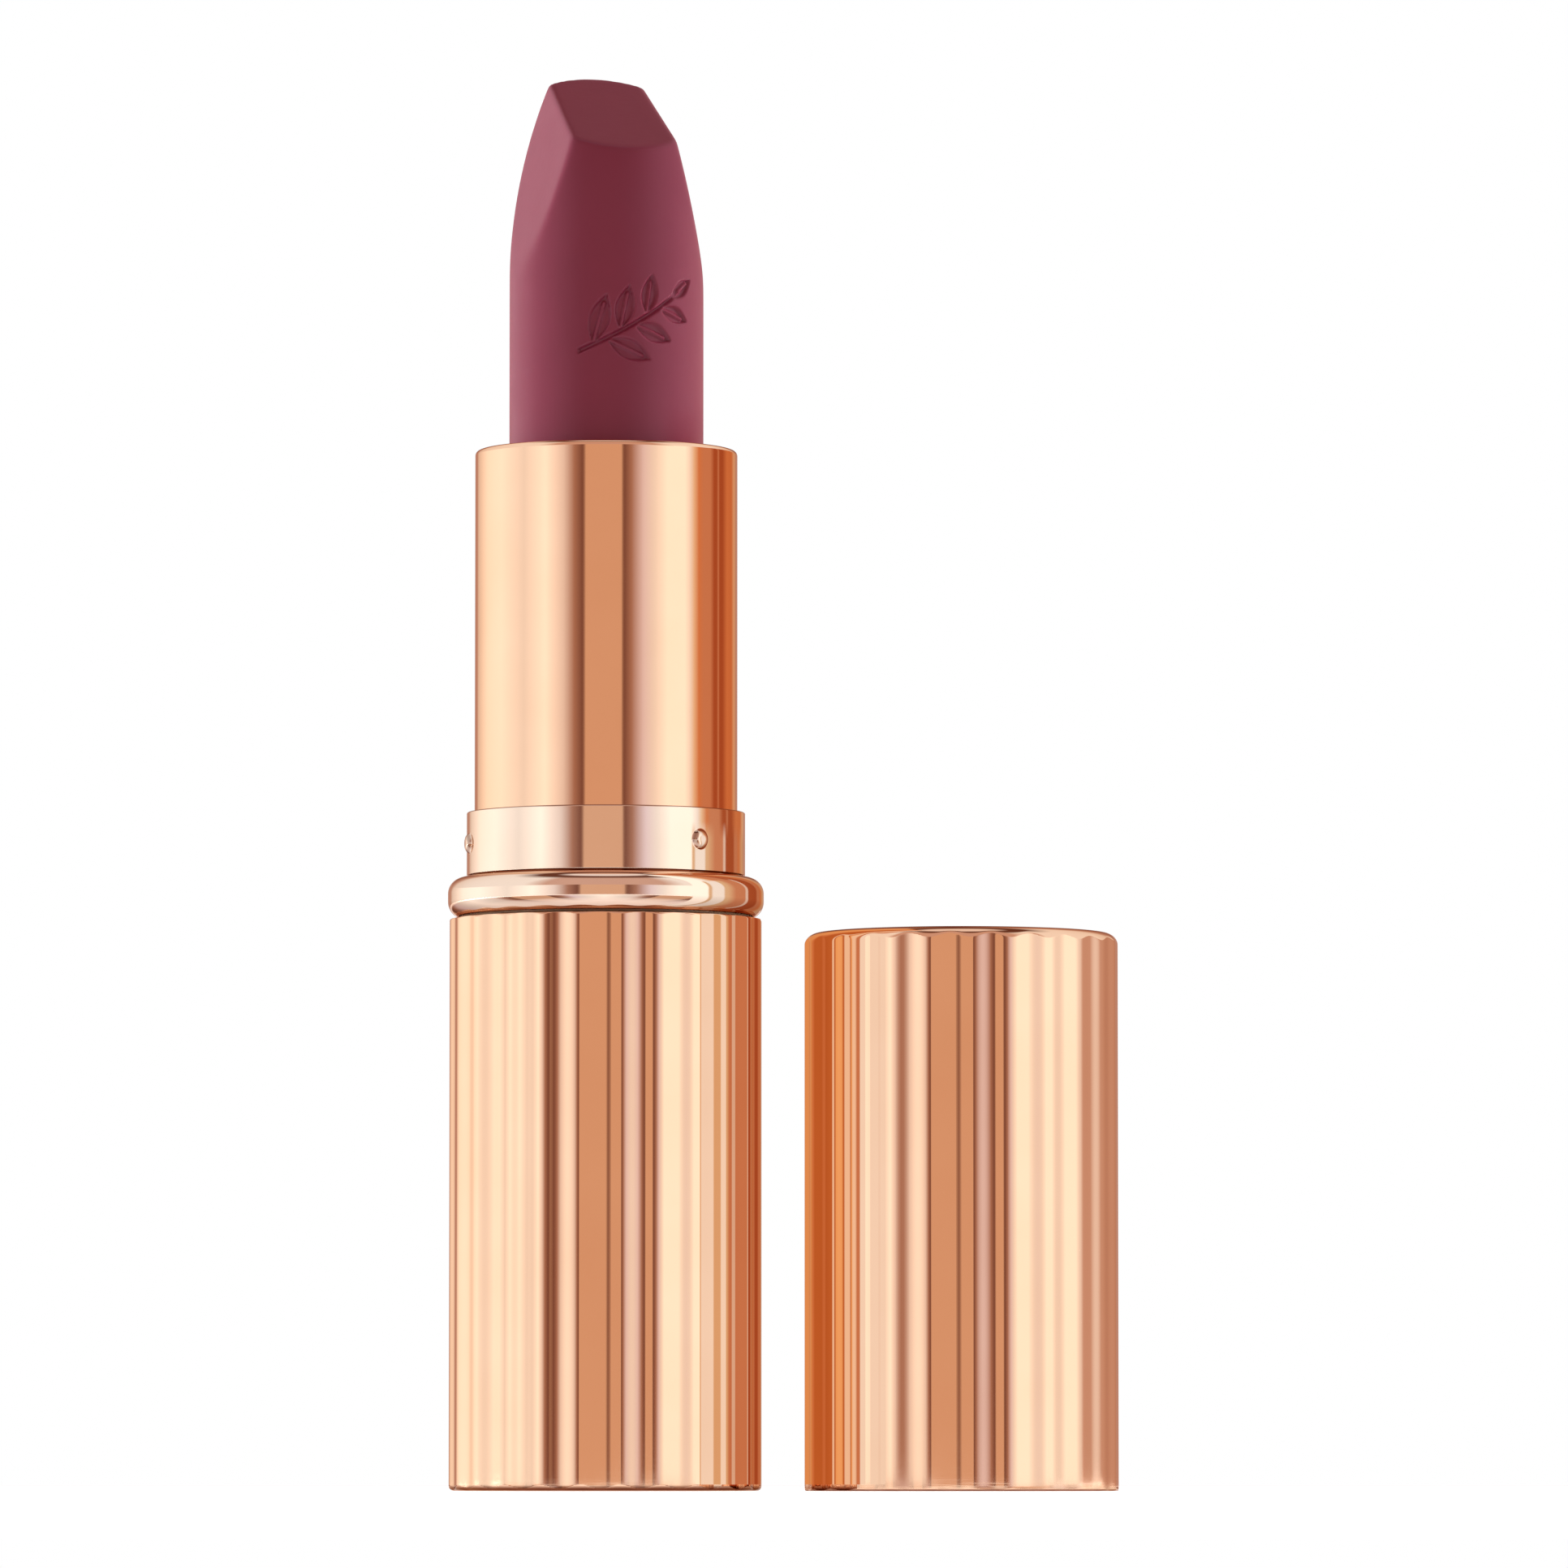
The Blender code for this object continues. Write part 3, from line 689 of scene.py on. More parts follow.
def with_rows(points, closed):
    """The same outline with rows along its straight runs, the first and last close to the corners."""
    rows = []
    following = points[1:] + points[:1] if closed else points[1:]
    for (start, edge), (end, end_edge) in zip(points, following):
        rows.append((start, edge))
        run = (end - start).length
        if run > SHORTEST_RUN:
            count = math.ceil(run / LONGEST_ROW)
            shares = [SUPPORT / run] + [i / count for i in range(1, count)] + [1 - SUPPORT / run]
            between = edge if edge == end_edge else 0
            rows += [(start.lerp(end, share), between) for share in shares]
    return rows if closed else rows + [points[-1]]


print("a corner of 1 mm gets", math.ceil(math.pi / 2 * MM / ARC_STEP), "steps")


# %% Lathe
WELD = 1e-8


def add_piece(name, points, faces, material, edges=None):
    """A closed mesh as an object at the origin, with doubles merged and faces pointing outwards."""
    mesh = bpy.data.meshes.new(name)
    mesh.from_pydata(points, [], faces)
    if edges is not None:
        mesh.attributes.new("edge", "FLOAT", "POINT").data.foreach_set("value", edges)
    bm = bmesh.new()
    bm.from_mesh(mesh)
    bmesh.ops.remove_doubles(bm, verts=bm.verts, dist=WELD)
    bmesh.ops.recalc_face_normals(bm, faces=bm.faces)
    bm.to_mesh(mesh)
    bm.free()
    mesh.shade_smooth()
    mesh.materials.append(material)
    obj = bpy.data.objects.new(name, mesh)
    scene.collection.objects.link(obj)
    return obj


def lathe(name, corners, turns, material, axis=0.0, closed=True):
    """A solid turned about an upright axis. An open outline starts and ends on the axis."""
    rows = with_rows(rounded(corners), closed)
    points = spun([place for place, _ in rows], turns, axis)
    edges = [edge for _, edge in rows for _ in turns]
    return add_piece(name, points, net(len(rows), len(turns), closed), material, edges)


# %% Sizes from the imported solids
def size_of(node, axis=0.0):
    """Outer radius, bottom and top of a round node."""
    low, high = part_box(node)
    return high.x - axis, low.z, high.z


cap_low, cap_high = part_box("cap_shell")
cap_axis = (cap_low.x + cap_high.x) / 2
print("cap stands", round(cap_axis / MM, 2), "mm beside the case")


# %% [markdown]
# ## Flutes
#
# The base and the cap are rolled with two dozen shallow flutes, which is what breaks their reflections into
# stripes. Twenty-four cutters and a Boolean would carve them, but the shape follows a rule: the wall sinks
# and rises evenly round the axis. Where the wall curves in at a corner it is soon deeper than the flute, so
# the flute runs out there in a small arch by itself: the rule keeps whichever of the two lies deeper. A
# Geometry Nodes tree says that once, with named sizes, and both shells use it.

# %% Flute tree
def from_axis(tree, axis):
    """A point's level offset from an upright axis, its height, its reach and its angle from the front."""
    place = add_node(tree, "GeometryNodeInputPosition").outputs[0]
    offset = add_node(tree, "ShaderNodeVectorMath", {0: place, 1: axis}, operation="SUBTRACT").outputs[0]
    x, y, z = add_node(tree, "ShaderNodeSeparateXYZ", {0: offset}).outputs
    level = add_node(tree, "ShaderNodeCombineXYZ", {0: x, 1: y}).outputs[0]
    return level, z, *round_axis(tree, x, y)


def push_out(tree, shell, level, share, finish, result):
    """Puts out a shell whose points are moved outwards by a share of their offset from the axis."""
    move = add_node(tree, "ShaderNodeVectorMath", {0: level, "Scale": share}, operation="SCALE").outputs[0]
    moved = add_node(tree, "GeometryNodeSetPosition", {"Geometry": shell, "Offset": move})
    real = add_node(tree, "GeometryNodeRealizeInstances", {0: moved.outputs[0]})
    done = add_node(tree, "GeometryNodeSetMaterial", {0: real.outputs[0], "Material": finish})
    tree.links.new(done.outputs[0], result["Shell"])


def wall_group(name, sizes):
    """A geometry group that takes a shell with its axis, sizes and finish, and gives it a new wall."""
    inputs = {"Shell": "Geometry", "Axis": "Vector", **dict.fromkeys(sizes, "Float"), "Finish": "Material"}
    return new_group(name, "GeometryNodeTree", inputs, {"Shell": "Geometry"})


def flutes():
    sizes = ("Flute Count", "Depth", "First Crest", "Wall Radius", "Softness")
    tree, given, result = wall_group("flutes", sizes)
    level, _, reach, compass = from_axis(tree, given["Axis"])
    turn = maths(tree, "SUBTRACT", compass, given["First Crest"])
    wave = maths(tree, "COSINE", maths(tree, "MULTIPLY", turn, given["Flute Count"]))
    sunk = maths(tree, "MULTIPLY", spread(tree, wave, 1, -1), given["Depth"])
    limit = maths(tree, "SUBTRACT", given["Wall Radius"], sunk)
    kept = maths(tree, "SMOOTH_MIN", reach, limit, given["Softness"])
    share = maths(tree, "SUBTRACT", maths(tree, "DIVIDE", kept, reach), 1)
    push_out(tree, given["Shell"], level, share, given["Finish"], result)
    return tree


# %% Run a tree and dress a piece
def grow(obj, tree, values):
    """Runs a tree on an object and keeps the result as a plain mesh."""
    modifier = obj.modifiers.new(tree.name, "NODES")
    modifier.node_group = tree
    for socket in tree.interface.items_tree:
        if socket.in_out == "INPUT" and socket.name in values:
            modifier[socket.identifier] = values[socket.name]
    graph = bpy.context.evaluated_depsgraph_get()
    mesh = bpy.data.meshes.new_from_object(obj.evaluated_get(graph))
    obj.modifiers.remove(modifier)
    obj.data = mesh
    mesh.shade_smooth()


def dress(obj, body, slot, *nodes):
    """The piece rides on a body and stands for the solids it covers. Its slot is not used."""
    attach(obj, body)
    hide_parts(*nodes)
    print(obj.name, "has", len(obj.data.polygons), "faces")


# %% Roll flutes into a shell
FLUTES = flutes()
FLUTE_COUNT = 24
FLUTE_COLUMNS = 16
FLUTE_TURNS = even_turns(FLUTE_COUNT * FLUTE_COLUMNS)
FLUTE_SOFTNESS = 0.05 * MM
CREST_TRIM = 0.04 * MM


def roll_flutes(shell, radius, depth, crest, axis=0.0):
    """Sinks flutes of a depth into a turned shell, with the first crest at an angle."""
    wall = {"Axis": (axis, 0, 0), "Wall Radius": radius - CREST_TRIM, "Softness": FLUTE_SOFTNESS}
    wave = {"Flute Count": float(FLUTE_COUNT), "Depth": depth, "First Crest": crest}
    grow(shell, FLUTES, {**wall, **wave, "Finish": FLUTED_GOLD})


print("flute tree has", len(FLUTES.nodes), "nodes")


# %% [markdown]
# ## Base shell
#
# The base is a drawn cup with a tight corner at the foot and a soft lip at its mouth, which leaves a dark
# seam under the bead. The foot's corner gets painted shade, a dark colour that stands in for the shadow and
# the dark reflection where the case meets the floor. The underside has a shallow round recess for the blank
# label.

# %% Make the base shell
SHELL_WALL = 0.53 * MM
GLUE_GAP = 0.05 * MM
SHELL_FLOOR = 0.6 * MM
BASE_CORNER = 0.38 * MM
BASE_LIP = 0.2 * MM
BASE_FLUTE = 0.165 * MM
BASE_CREST = math.radians(6.3)
LABEL_RECESS = 0.15 * MM
LABEL_GAP = 0.05 * MM
BREAK = 0.05 * MM
SEAM_GAP = 0.03 * MM

base_insert_radius, _, _ = size_of("base_insert")
bead_radius, bead_low, bead_top = size_of("bead_ring")
base_top = bead_low - SEAM_GAP
label_radius, label_low, label_top = size_of("shade_label")
base_low = label_low
recess_radius = label_radius + LABEL_GAP
base_bore = base_insert_radius + GLUE_GAP
base_radius = base_bore + SHELL_WALL
base_corners = [
    Corner(0, base_low + LABEL_RECESS),
    Corner(recess_radius, base_low + LABEL_RECESS),
    Corner(recess_radius, base_low, BREAK),
    # painted shade on the foot's round, standing in for the shadow where it meets the floor
    Corner(base_radius, base_low, BASE_CORNER, edge=PAINTED_SHADE),
    Corner(base_radius, base_top, BASE_LIP),
    Corner(base_bore, base_top, BREAK),
    Corner(base_bore, base_low + SHELL_FLOOR),
    Corner(0, base_low + SHELL_FLOOR),
]
base_shell = lathe("base_shell_fluted", base_corners, FLUTE_TURNS, FLUTED_GOLD, closed=False)
roll_flutes(base_shell, base_radius, BASE_FLUTE, BASE_CREST)
dress(base_shell, "base", "fluted_metal", "base_shell")


# %% [markdown]
# ## Label
#
# A round film label lies flush in the recess under the base. On a shelf it would carry the shade. Here it
# stays blank. A plain disc would do from afar, but its edge is broken with a small round so that the thin
# gap round it shows.

# %% Make the label
LABEL_BREAK = 0.03 * MM
ROUND_TURNS = even_turns(192)

label_corners = [
    Corner(0, label_low),
    Corner(label_radius, label_low, LABEL_BREAK),
    Corner(label_radius, label_top, LABEL_BREAK),
    Corner(0, label_top),
]
label = lathe("label_disc", label_corners, ROUND_TURNS, FILM, closed=False)
dress(label, "base", "label", "shade_label")


# %% [markdown]
# ## Bead ring
#
# A rounded ring sits between the base and the cap's mouth. It could be a torus, but the real one is taller
# than it is thick, with a short upright wall between its shoulder and its foot. So it is turned like the
# shells.

# %% Make the bead
BEAD_SHOULDER = 1.0 * MM
BEAD_FOOT = 1.05 * MM
BEAD_WALL = 1.11 * MM
BEAD_SHADE = -0.4

bead_bore = bead_radius - BEAD_WALL
bead_corners = [
    Corner(bead_bore, bead_low),
    # painted shade on the foot's round: it is drawn a little darker, as if it mirrored a darker floor
    Corner(bead_radius, bead_low, BEAD_FOOT, edge=BEAD_SHADE),
    Corner(bead_radius, bead_top, BEAD_SHOULDER),
    Corner(bead_bore, bead_top),
]
bead = lathe("bead_ring_turned", bead_corners, ROUND_TURNS, COLLAR_GOLD)
dress(bead, "base", "smooth_metal", "bead_ring")


# %% [markdown]
# ## Collar with snap pips
#
# The cap grips the collar, and three small pips on it click into the cap's groove. They could be three
# spheres pushed into the wall, but a pressed pip is one sheet with the wall. So a second tree lifts the wall
# itself into low domes with steep sides, from a pip count and sizes, and gives the steep sides painted shade,
# a dark outline that stands in for the dark reflection round each pip. The lathe puts most of its rows and
# columns where the pips are.

# %% Pip tree
PIP_STEEPNESS = 4


def pips():
    sizes = ("Pip Count", "First Turn", "Middle", "Radius", "Height", "Wall Radius", "Outline")
    tree, given, result = wall_group("pips", sizes)
    level, height, reach, compass = from_axis(tree, given["Axis"])
    half_step = maths(tree, "DIVIDE", math.pi, given["Pip Count"])
    turn = maths(tree, "SUBTRACT", compass, given["First Turn"])
    near = maths(tree, "WRAP", turn, half_step, maths(tree, "MULTIPLY", half_step, -1))
    sideways = maths(tree, "MULTIPLY", near, given["Wall Radius"])
    upwards = maths(tree, "SUBTRACT", height, given["Middle"])
    away, _ = round_axis(tree, sideways, upwards)
    fall = maths(tree, "POWER", maths(tree, "DIVIDE", away, given["Radius"]), PIP_STEEPNESS)
    dome = maths(tree, "MAXIMUM", maths(tree, "SUBTRACT", 1, fall), 0)
    outer = maths(tree, "GREATER_THAN", reach, given["Wall Radius"])
    lift = maths(tree, "MULTIPLY", maths(tree, "MULTIPLY", dome, given["Height"]), outer)
    # Painted shade: the steep sides lower the edge mark, which draws a dark outline round each pip.
    side = maths(tree, "MULTIPLY", maths(tree, "MULTIPLY", dome, maths(tree, "SUBTRACT", 1, dome)), outer)
    before = add_node(tree, "GeometryNodeInputNamedAttribute", {"Name": "edge"}, data_type="FLOAT").outputs[0]
    mark = maths(tree, "SUBTRACT", before, maths(tree, "MULTIPLY", side, given["Outline"]))
    marking = {"Geometry": given["Shell"], "Name": "edge", "Value": mark}
    marked = add_node(tree, "GeometryNodeStoreNamedAttribute", marking, data_type="FLOAT", domain="POINT")
    share = maths(tree, "DIVIDE", lift, reach)
    push_out(tree, marked.outputs[0], level, share, given["Finish"], result)
    return tree


PIPS = pips()
PIP_COUNT = 3
PIP_TURN = math.radians(43)
PIP_RADIUS = 0.65 * MM
PIP_HEIGHT = 0.28 * MM
PIP_DROP = 2.0 * MM
PIP_PAINTED_SHADE = 2.4
print("pip tree has", len(PIPS.nodes), "nodes")


# %% Where the collar needs rows and columns
PIP_MESH = 0.022 * MM
PIP_MARGIN = 1.15
PLAIN_COLUMN = math.radians(3)


def stretches(*runs):
    """Values along neighbouring runs, each from its start up to its end in steps of its own size."""
    values = []
    for start, end, step in runs:
        count = math.ceil((end - start) / step)
        values.append(np.linspace(start, end, count, endpoint=False))
    return np.concatenate(values)


collar_radius, collar_low, collar_top = size_of("collar")
pip_middle = collar_top - PIP_DROP
pip_reach = PIP_MARGIN * PIP_RADIUS
pip_half = pip_reach / collar_radius
pip_step = math.tau / PIP_COUNT
collar_turns = []
for i in range(PIP_COUNT):
    middle = PIP_TURN + i * pip_step
    fine = (middle - pip_half, middle + pip_half, PIP_MESH / collar_radius)
    plain = (middle + pip_half, middle + pip_step - pip_half, PLAIN_COLUMN)
    collar_turns += list(stretches(fine, plain))
pip_rows = stretches((pip_middle - pip_reach, pip_middle + pip_reach, PIP_MESH))
print("collar has", len(collar_turns), "columns and", len(pip_rows), "rows over a pip")


# %% [markdown]
# ## The collar's outline
#
# Just above the bead the collar has a narrow relief, cut so that the bead seats square. It is only a fifth
# of a millimetre deep, but it is the blackest line on the whole case, so it is real geometry, and its faces
# also get painted shade that stands in for the deep shadow inside it.

# %% Make the collar
COLLAR_WALL = 0.385 * MM
COLLAR_LIP = 0.08 * MM
RELIEF_DEPTH = 0.2 * MM
RELIEF_BREAK = 0.02 * MM
RELIEF_BELOW = 0.1 * MM
RELIEF_ABOVE = 0.14 * MM
LIP_SHADE = -0.8

relief_low, relief_high = bead_top - RELIEF_BELOW, bead_top + RELIEF_ABOVE
collar_bore = collar_radius - COLLAR_WALL
relief_radius = collar_radius - RELIEF_DEPTH
collar_corners = [
    Corner(collar_bore, collar_low),
    Corner(collar_radius, collar_low),
    Corner(collar_radius, relief_low),
    # painted shade on the relief's faces
    Corner(relief_radius, relief_low, edge=PAINTED_SHADE),
    Corner(relief_radius, relief_high, edge=PAINTED_SHADE),
    Corner(collar_radius, relief_high, RELIEF_BREAK),
    *[Corner(collar_radius, height) for height in pip_rows],
    # painted shade on the top lip, where the collar meets the sleeve
    Corner(collar_radius, collar_top, COLLAR_LIP, edge=LIP_SHADE),
    Corner(collar_bore, collar_top, BREAK),
]
collar = lathe("collar_with_pips", collar_corners, collar_turns, COLLAR_GOLD)
collar_sizes = {
    "Pip Count": float(PIP_COUNT),
    "First Turn": PIP_TURN,
    "Middle": pip_middle,
    "Radius": PIP_RADIUS,
    "Height": PIP_HEIGHT,
    "Wall Radius": collar_radius - COLLAR_LIP / 2,
    "Outline": PIP_PAINTED_SHADE,
    "Finish": COLLAR_GOLD,
}
grow(collar, PIPS, collar_sizes)
dress(collar, "base", "smooth_metal", "collar")


# %% [markdown]
# ## Sleeve
#
# The smooth sleeve is the part that the fingers turn. Its mouth is curled inwards to a narrow lip that hides
# the mechanism, so the outline turns in at the top with a small round.

# %% Make the sleeve
SLEEVE_WALL = 0.375 * MM
SLEEVE_LIP = 1.2 * MM
SLEEVE_ROUND = 0.3 * MM
INNER_ROUND = 0.12 * MM

sleeve_radius, sleeve_low, sleeve_top = size_of("upper_sleeve")
sleeve_bore = sleeve_radius - SLEEVE_WALL
sleeve_mouth = sleeve_radius - SLEEVE_LIP
sleeve_under = sleeve_top - SLEEVE_WALL
sleeve_corners = [
    Corner(sleeve_bore, sleeve_low),
    Corner(sleeve_radius, sleeve_low, BREAK),
    Corner(sleeve_radius, sleeve_top, SLEEVE_ROUND),
    Corner(sleeve_mouth, sleeve_top, INNER_ROUND, edge=WORN),
    Corner(sleeve_mouth, sleeve_under, INNER_ROUND),
    Corner(sleeve_bore, sleeve_under),
]
sleeve = lathe("upper_sleeve_smooth", sleeve_corners, ROUND_TURNS, SMOOTH_GOLD)
dress(sleeve, "twist_sleeve", "smooth_metal", "upper_sleeve")


# %% [markdown]
# ## Cap
#
# The cap is a second drawn cup, upside down, with a fuller corner round its top. Its flutes run up into that
# corner and end there in small arches.

# %% Make the cap shell
CAP_CORNER = 0.9 * MM
CAP_LIP = 0.15 * MM
CAP_FLUTE = 0.13 * MM
CAP_CREST = math.radians(2.5)

liner_radius, liner_low, liner_top = size_of("cap_insert", cap_axis)
cap_bore = liner_radius + GLUE_GAP
cap_radius = cap_bore + SHELL_WALL
cap_corners = [
    Corner(0, cap_high.z - SHELL_FLOOR),
    Corner(cap_bore, cap_high.z - SHELL_FLOOR, BREAK),
    Corner(cap_bore, cap_low.z, BREAK),
    # painted shade on the rim's round, where the cap stands on the floor
    Corner(cap_radius, cap_low.z, CAP_LIP, edge=PAINTED_SHADE),
    Corner(cap_radius, cap_high.z, CAP_CORNER),
    Corner(0, cap_high.z),
]
cap_shell = lathe("cap_shell_fluted", cap_corners, FLUTE_TURNS, FLUTED_GOLD, cap_axis, closed=False)
roll_flutes(cap_shell, cap_radius, CAP_FLUTE, CAP_CREST, cap_axis)
dress(cap_shell, "cap", "fluted_metal", "cap_shell")


# %% [markdown]
# ## Cap liner
#
# Inside the metal sits a moulded liner that grips the collar, with a groove that the pips click into and a
# spacer ring under the cap's roof. It shows when the cap is lifted, so it is turned as finely as the metal.

# %% Make the liner
LINER_WALL = 0.46 * MM
LINER_INSIDE = 27.85 * MM
LINER_ROOF = 0.8 * MM
GROOVE_LOW = 1.3 * MM
GROOVE_HIGH = 2.8 * MM
GROOVE_DEPTH = 0.23 * MM
SPACER_RADIUS = 6.3 * MM
SPACER_WALL = 0.8 * MM

liner_bore = liner_radius - LINER_WALL
liner_roof = LINER_INSIDE + LINER_ROOF
liner_corners = [
    Corner(0, LINER_INSIDE),
    Corner(liner_bore, LINER_INSIDE, INNER_ROUND),
    Corner(liner_bore, GROOVE_HIGH, BREAK),
    Corner(liner_bore + GROOVE_DEPTH, GROOVE_HIGH, BREAK),
    Corner(liner_bore + GROOVE_DEPTH, GROOVE_LOW, BREAK),
    Corner(liner_bore, GROOVE_LOW, BREAK),
    Corner(liner_bore, liner_low, INNER_ROUND),
    Corner(liner_radius, liner_low, INNER_ROUND),
    Corner(liner_radius, liner_roof, INNER_ROUND),
    Corner(SPACER_RADIUS, liner_roof),
    Corner(SPACER_RADIUS, liner_top, BREAK),
    Corner(SPACER_RADIUS - SPACER_WALL, liner_top, BREAK),
    Corner(SPACER_RADIUS - SPACER_WALL, liner_roof),
    Corner(0, liner_roof),
]
liner = lathe("cap_liner", liner_corners, ROUND_TURNS, MOULDING, cap_axis, closed=False)
dress(liner, "cap", "moulding", "cap_insert")


# %% [markdown]
# ## The stick's tip
#
# The wax is cast in a mould: a bullet that narrows towards the top, with one slanted face and two flats
# beside it. Cutting a bullet with three planes leaves edges as sharp as a knife, and a bevel on such curved
# edges is fiddly. Instead each face says how far a point lies outside it, and a soft maximum of all four
# gives one skin whose edges are eased by themselves, as wax is.

# %% Shape of the tip as a rule
TAPER_LENGTH = 9.48 * MM
TAPER_TOP_RADIUS = 3.8 * MM
TAPER_POWER = 2.7
SLANT_ANGLE = math.radians(29.9)
SLANT_TURN = math.radians(14.8)
FLAT_ANGLE = math.radians(14.9)
FLAT_SPREAD = math.radians(83.6)
FLAT_OFFSET = 3.16 * MM
EDGE_EASE = 0.1 * MM

stick_radius, stick_low, stick_top = size_of("lipstick_stick")
taper_low = stick_top - TAPER_LENGTH
slant_height = stick_top - TAPER_TOP_RADIUS * math.tan(SLANT_ANGLE)


def facing(turn, rise):
    """Directions at an angle from the front towards +X, and an angle above level."""
    turn, rise = np.broadcast_arrays(turn, rise)
    level = np.cos(rise)
    return np.stack((level * np.sin(turn), -level * np.cos(turn), np.sin(rise)), axis=-1)


tip_faces = [(np.array((0, 0, slant_height)), facing(SLANT_TURN, math.pi / 2 - SLANT_ANGLE))]
for side in (-FLAT_SPREAD, FLAT_SPREAD):
    flat_place = FLAT_OFFSET * facing(SLANT_TURN + side, 0) + (0, 0, slant_height)
    tip_faces.append((flat_place, facing(SLANT_TURN + side, FLAT_ANGLE)))


def outside(points):
    """How far points lie outside the stick, below 0 inside it, with its edges eased."""
    share = np.clip((points[..., 2] - taper_low) / TAPER_LENGTH, 0, None)
    wall = stick_radius - (stick_radius - TAPER_TOP_RADIUS) * share**TAPER_POWER
    gaps = [np.hypot(points[..., 0], points[..., 1]) - wall]
    gaps += [(points - place) @ normal for place, normal in tip_faces]
    return EDGE_EASE * np.logaddexp.reduce(np.array(gaps) / EDGE_EASE)


print("tip starts to narrow at", round(taper_low / MM, 2), "mm")


# %% [markdown]
# ## A pressed sprig
#
# Sticks of this kind often carry a small ornament pressed into the wax. This one gets a plain leafy sprig. It
# could be a curve with a bevel and a Boolean, but a pressed mark has soft walls and an even floor. So the
# sprig is a rule as well: leaf by leaf it says how deep the wax is pressed at each place on its unrolled
# side.

# %% Sprig as a rule
SPRIG_TURN = math.radians(22)
SPRIG_HEIGHT = 72.4 * MM
SPRIG_HALF = (4.6 * MM, 4.0 * MM)
SPRIG_DEPTH = 0.24 * MM
SPRIG_SOFT = 0.12 * MM
STEM_HALF = 0.15 * MM
STEM_RISE = 0.60
STEM_BOW = 0.025 / MM
STEM_ENDS = (-4.0 * MM, 2.1 * MM)
STEM_PAST = 0.7 * MM
LEAF_COUNT = 6
LEAF_LENGTH = (3.5 * MM, 2.4 * MM)
LEAF_WIDTH = 0.42
LEAF_SPREAD = math.radians(50)
RIB_HALF = 0.09 * MM
RIB_SOFT = 1.6
RIB_REACH = 0.85
RIB_RISE = 0.7


def ease(value):
    """0 below 0, 1 above 1 and a soft step between them."""
    share = np.clip(value, 0, 1)
    return share * share * (3 - 2 * share)


def stem_height(along):
    return STEM_RISE * along + STEM_BOW * along**2


def leaf(along, across, start, angle, length):
    """A pointed leaf with a raised rib, from where it leaves the stem."""
    x, y = along - start[0], across - start[1]
    forward = x * math.cos(angle) + y * math.sin(angle)
    sideways = np.abs(y * math.cos(angle) - x * math.sin(angle))
    half = LEAF_WIDTH / 2 * length * np.sin(math.pi * np.clip(forward / length, 0, 1))
    rib = ease(RIB_SOFT - sideways / RIB_HALF) * ease((RIB_REACH * length - forward) / SPRIG_SOFT)
    return ease((half - sideways) / SPRIG_SOFT) * (1 - RIB_RISE * rib)


def sprig(along, across):
    """How deep the wax is pressed, from 0 to 1, on its unrolled side."""
    gap = np.abs(across - stem_height(along))
    past_end = np.maximum(STEM_ENDS[0] - along, along - STEM_ENDS[1] - STEM_PAST)
    pressed = ease((STEM_HALF - gap) / SPRIG_SOFT + 0.5) * ease(0.5 - past_end / SPRIG_SOFT)
    for i in range(LEAF_COUNT + 1):
        share = (i + 1) / (LEAF_COUNT + 1)
        foot = STEM_ENDS[0] + share * (STEM_ENDS[1] - STEM_ENDS[0])
        lean = math.atan(STEM_RISE + 2 * STEM_BOW * foot)
        side = 0 if i == LEAF_COUNT else 1 - 2 * (i % 2)
        length = LEAF_LENGTH[0] + share * (LEAF_LENGTH[1] - LEAF_LENGTH[0])
        one = leaf(along, across, (foot, stem_height(foot)), lean + side * LEAF_SPREAD, length)
        pressed = np.maximum(pressed, one)
    return pressed


print("sprig has", LEAF_COUNT + 1, "leaves")


# %% [markdown]
# ## Casting the stick
#
# Rays find the skin: level ones from the axis up to where the stick starts to narrow, and above that a fan
# from one point inside the tip, so that the slanted face gets an even net as well. Rows and columns lie
# closest where the sprig is pressed.

# %% Cast the stick
FINE_STEP = 0.08 * MM
PLAIN_STEP = 0.3 * MM
HIDDEN_STEP = 4 * MM
FAN_STEP = math.radians(0.75)
STICK_COLUMN = math.radians(1.5)
SHOWN_FROM = 63 * MM
SEARCH_STEPS = 40

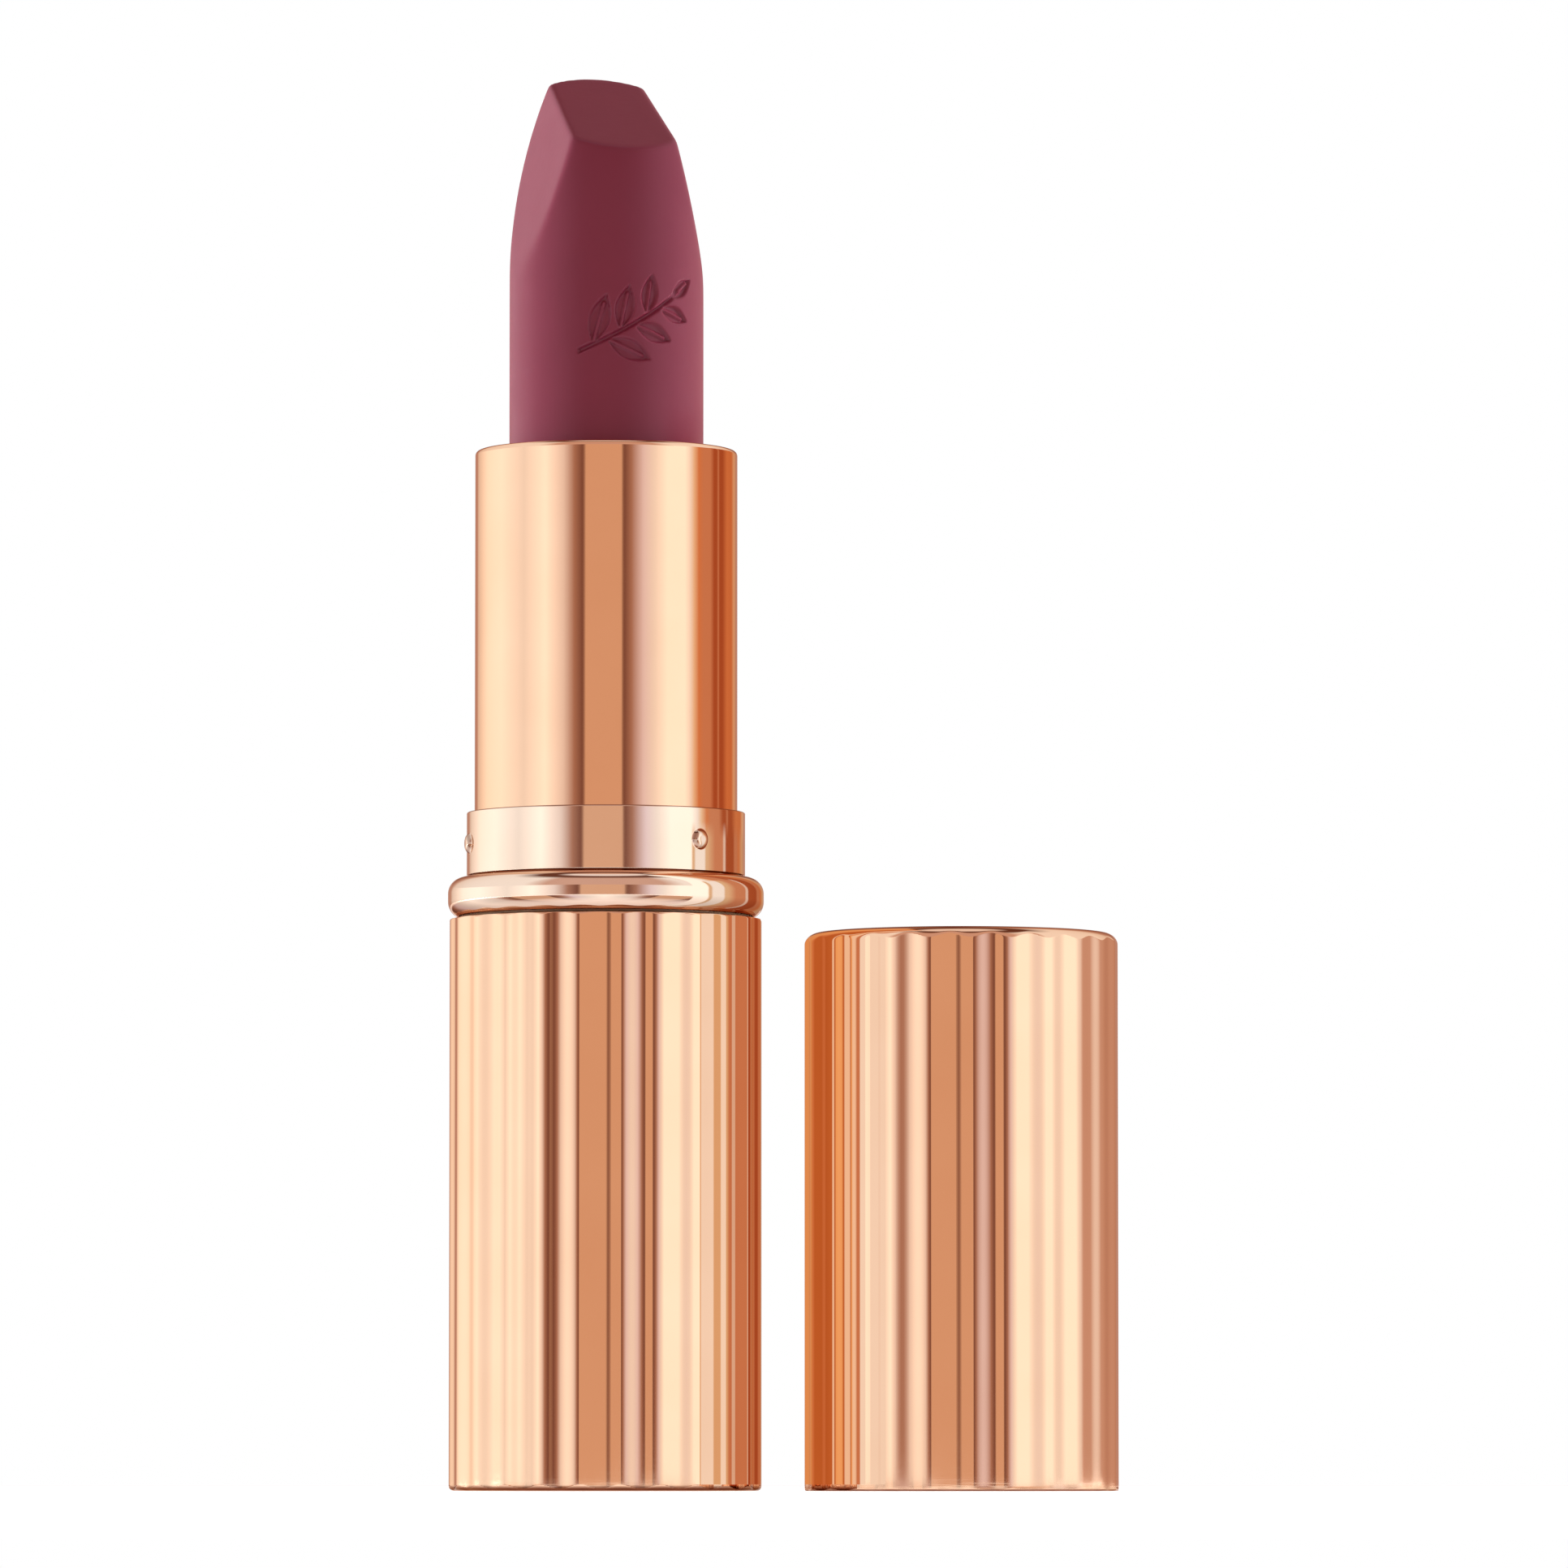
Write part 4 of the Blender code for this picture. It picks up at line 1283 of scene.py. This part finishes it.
sprig_half_turn = SPRIG_HALF[0] / stick_radius
first_turn, last_turn = SPRIG_TURN - sprig_half_turn, SPRIG_TURN + sprig_half_turn
sprig_low, sprig_high = SPRIG_HEIGHT - SPRIG_HALF[1], SPRIG_HEIGHT + SPRIG_HALF[1]
fine_turns = (first_turn, last_turn, FINE_STEP / stick_radius)
stick_turns = stretches(fine_turns, (last_turn, first_turn + math.tau, STICK_COLUMN))
shaft_rows = stretches(
    (stick_low, SHOWN_FROM, HIDDEN_STEP), (SHOWN_FROM, sprig_low, PLAIN_STEP),
    (sprig_low, sprig_high, FINE_STEP), (sprig_high, taper_low, PLAIN_STEP),
)
fan_rows = np.append(stretches((0, math.pi / 2, FAN_STEP)), math.pi / 2)


def skin(starts, ways):
    """Where rays from inside the stick meet its skin."""
    near = np.zeros(ways.shape[:-1])
    far = near + TAPER_LENGTH + stick_radius
    for _ in range(SEARCH_STEPS):
        middle = (near + far) / 2
        beyond = outside(starts + ways * middle[..., None]) > 0
        near, far = np.where(beyond, near, middle), np.where(beyond, middle, far)
    return starts + ways * near[..., None]


def cast_stick():
    heights = np.concatenate((shaft_rows, np.full(len(fan_rows), taper_low)))
    rises = np.concatenate((np.zeros(len(shaft_rows)), fan_rows))
    starts = np.stack(np.broadcast_arrays(0.0, 0.0, heights[:, None]), axis=-1)
    points = skin(starts, facing(stick_turns, rises[:, None]))
    along = (stick_turns - SPRIG_TURN) * stick_radius
    pressed = sprig(along, points[..., 2] - SPRIG_HEIGHT) * (points[..., 2] < taper_low)
    points[..., :2] *= 1 - (SPRIG_DEPTH / stick_radius * pressed)[..., None]
    rows, columns = points.shape[:2]
    faces = [list(range(columns)), *net(rows, columns)]
    return add_piece("stick_of_wax", points.reshape(-1, 3).tolist(), faces, WAX)


stick = cast_stick()
dress(stick, "carrier", "wax", "lipstick_stick")


# %% [markdown]
# ## What stays as it is
#
# The weight, the insert, the guide and spiral tubes, the rings and the cup sit inside, and their solids have
# the right shape already. They keep their meshes and get a finish, because someone may take the case apart.

# %% Finish the pieces that stay as solids
KEPT = {
    "base_weight": STEEL,
    "base_insert": MOULDING,
    "guide_tube": MOULDING,
    "friction_ring_lower": SILICONE,
    "friction_ring_upper": SILICONE,
    "spiral_tube": MOULDING,
    "carrier_cup": MOULDING,
}
for node, material in KEPT.items():
    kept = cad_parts[node].data.materials
    kept.clear()
    kept.append(material)
print("solids with a new finish:", len(KEPT))
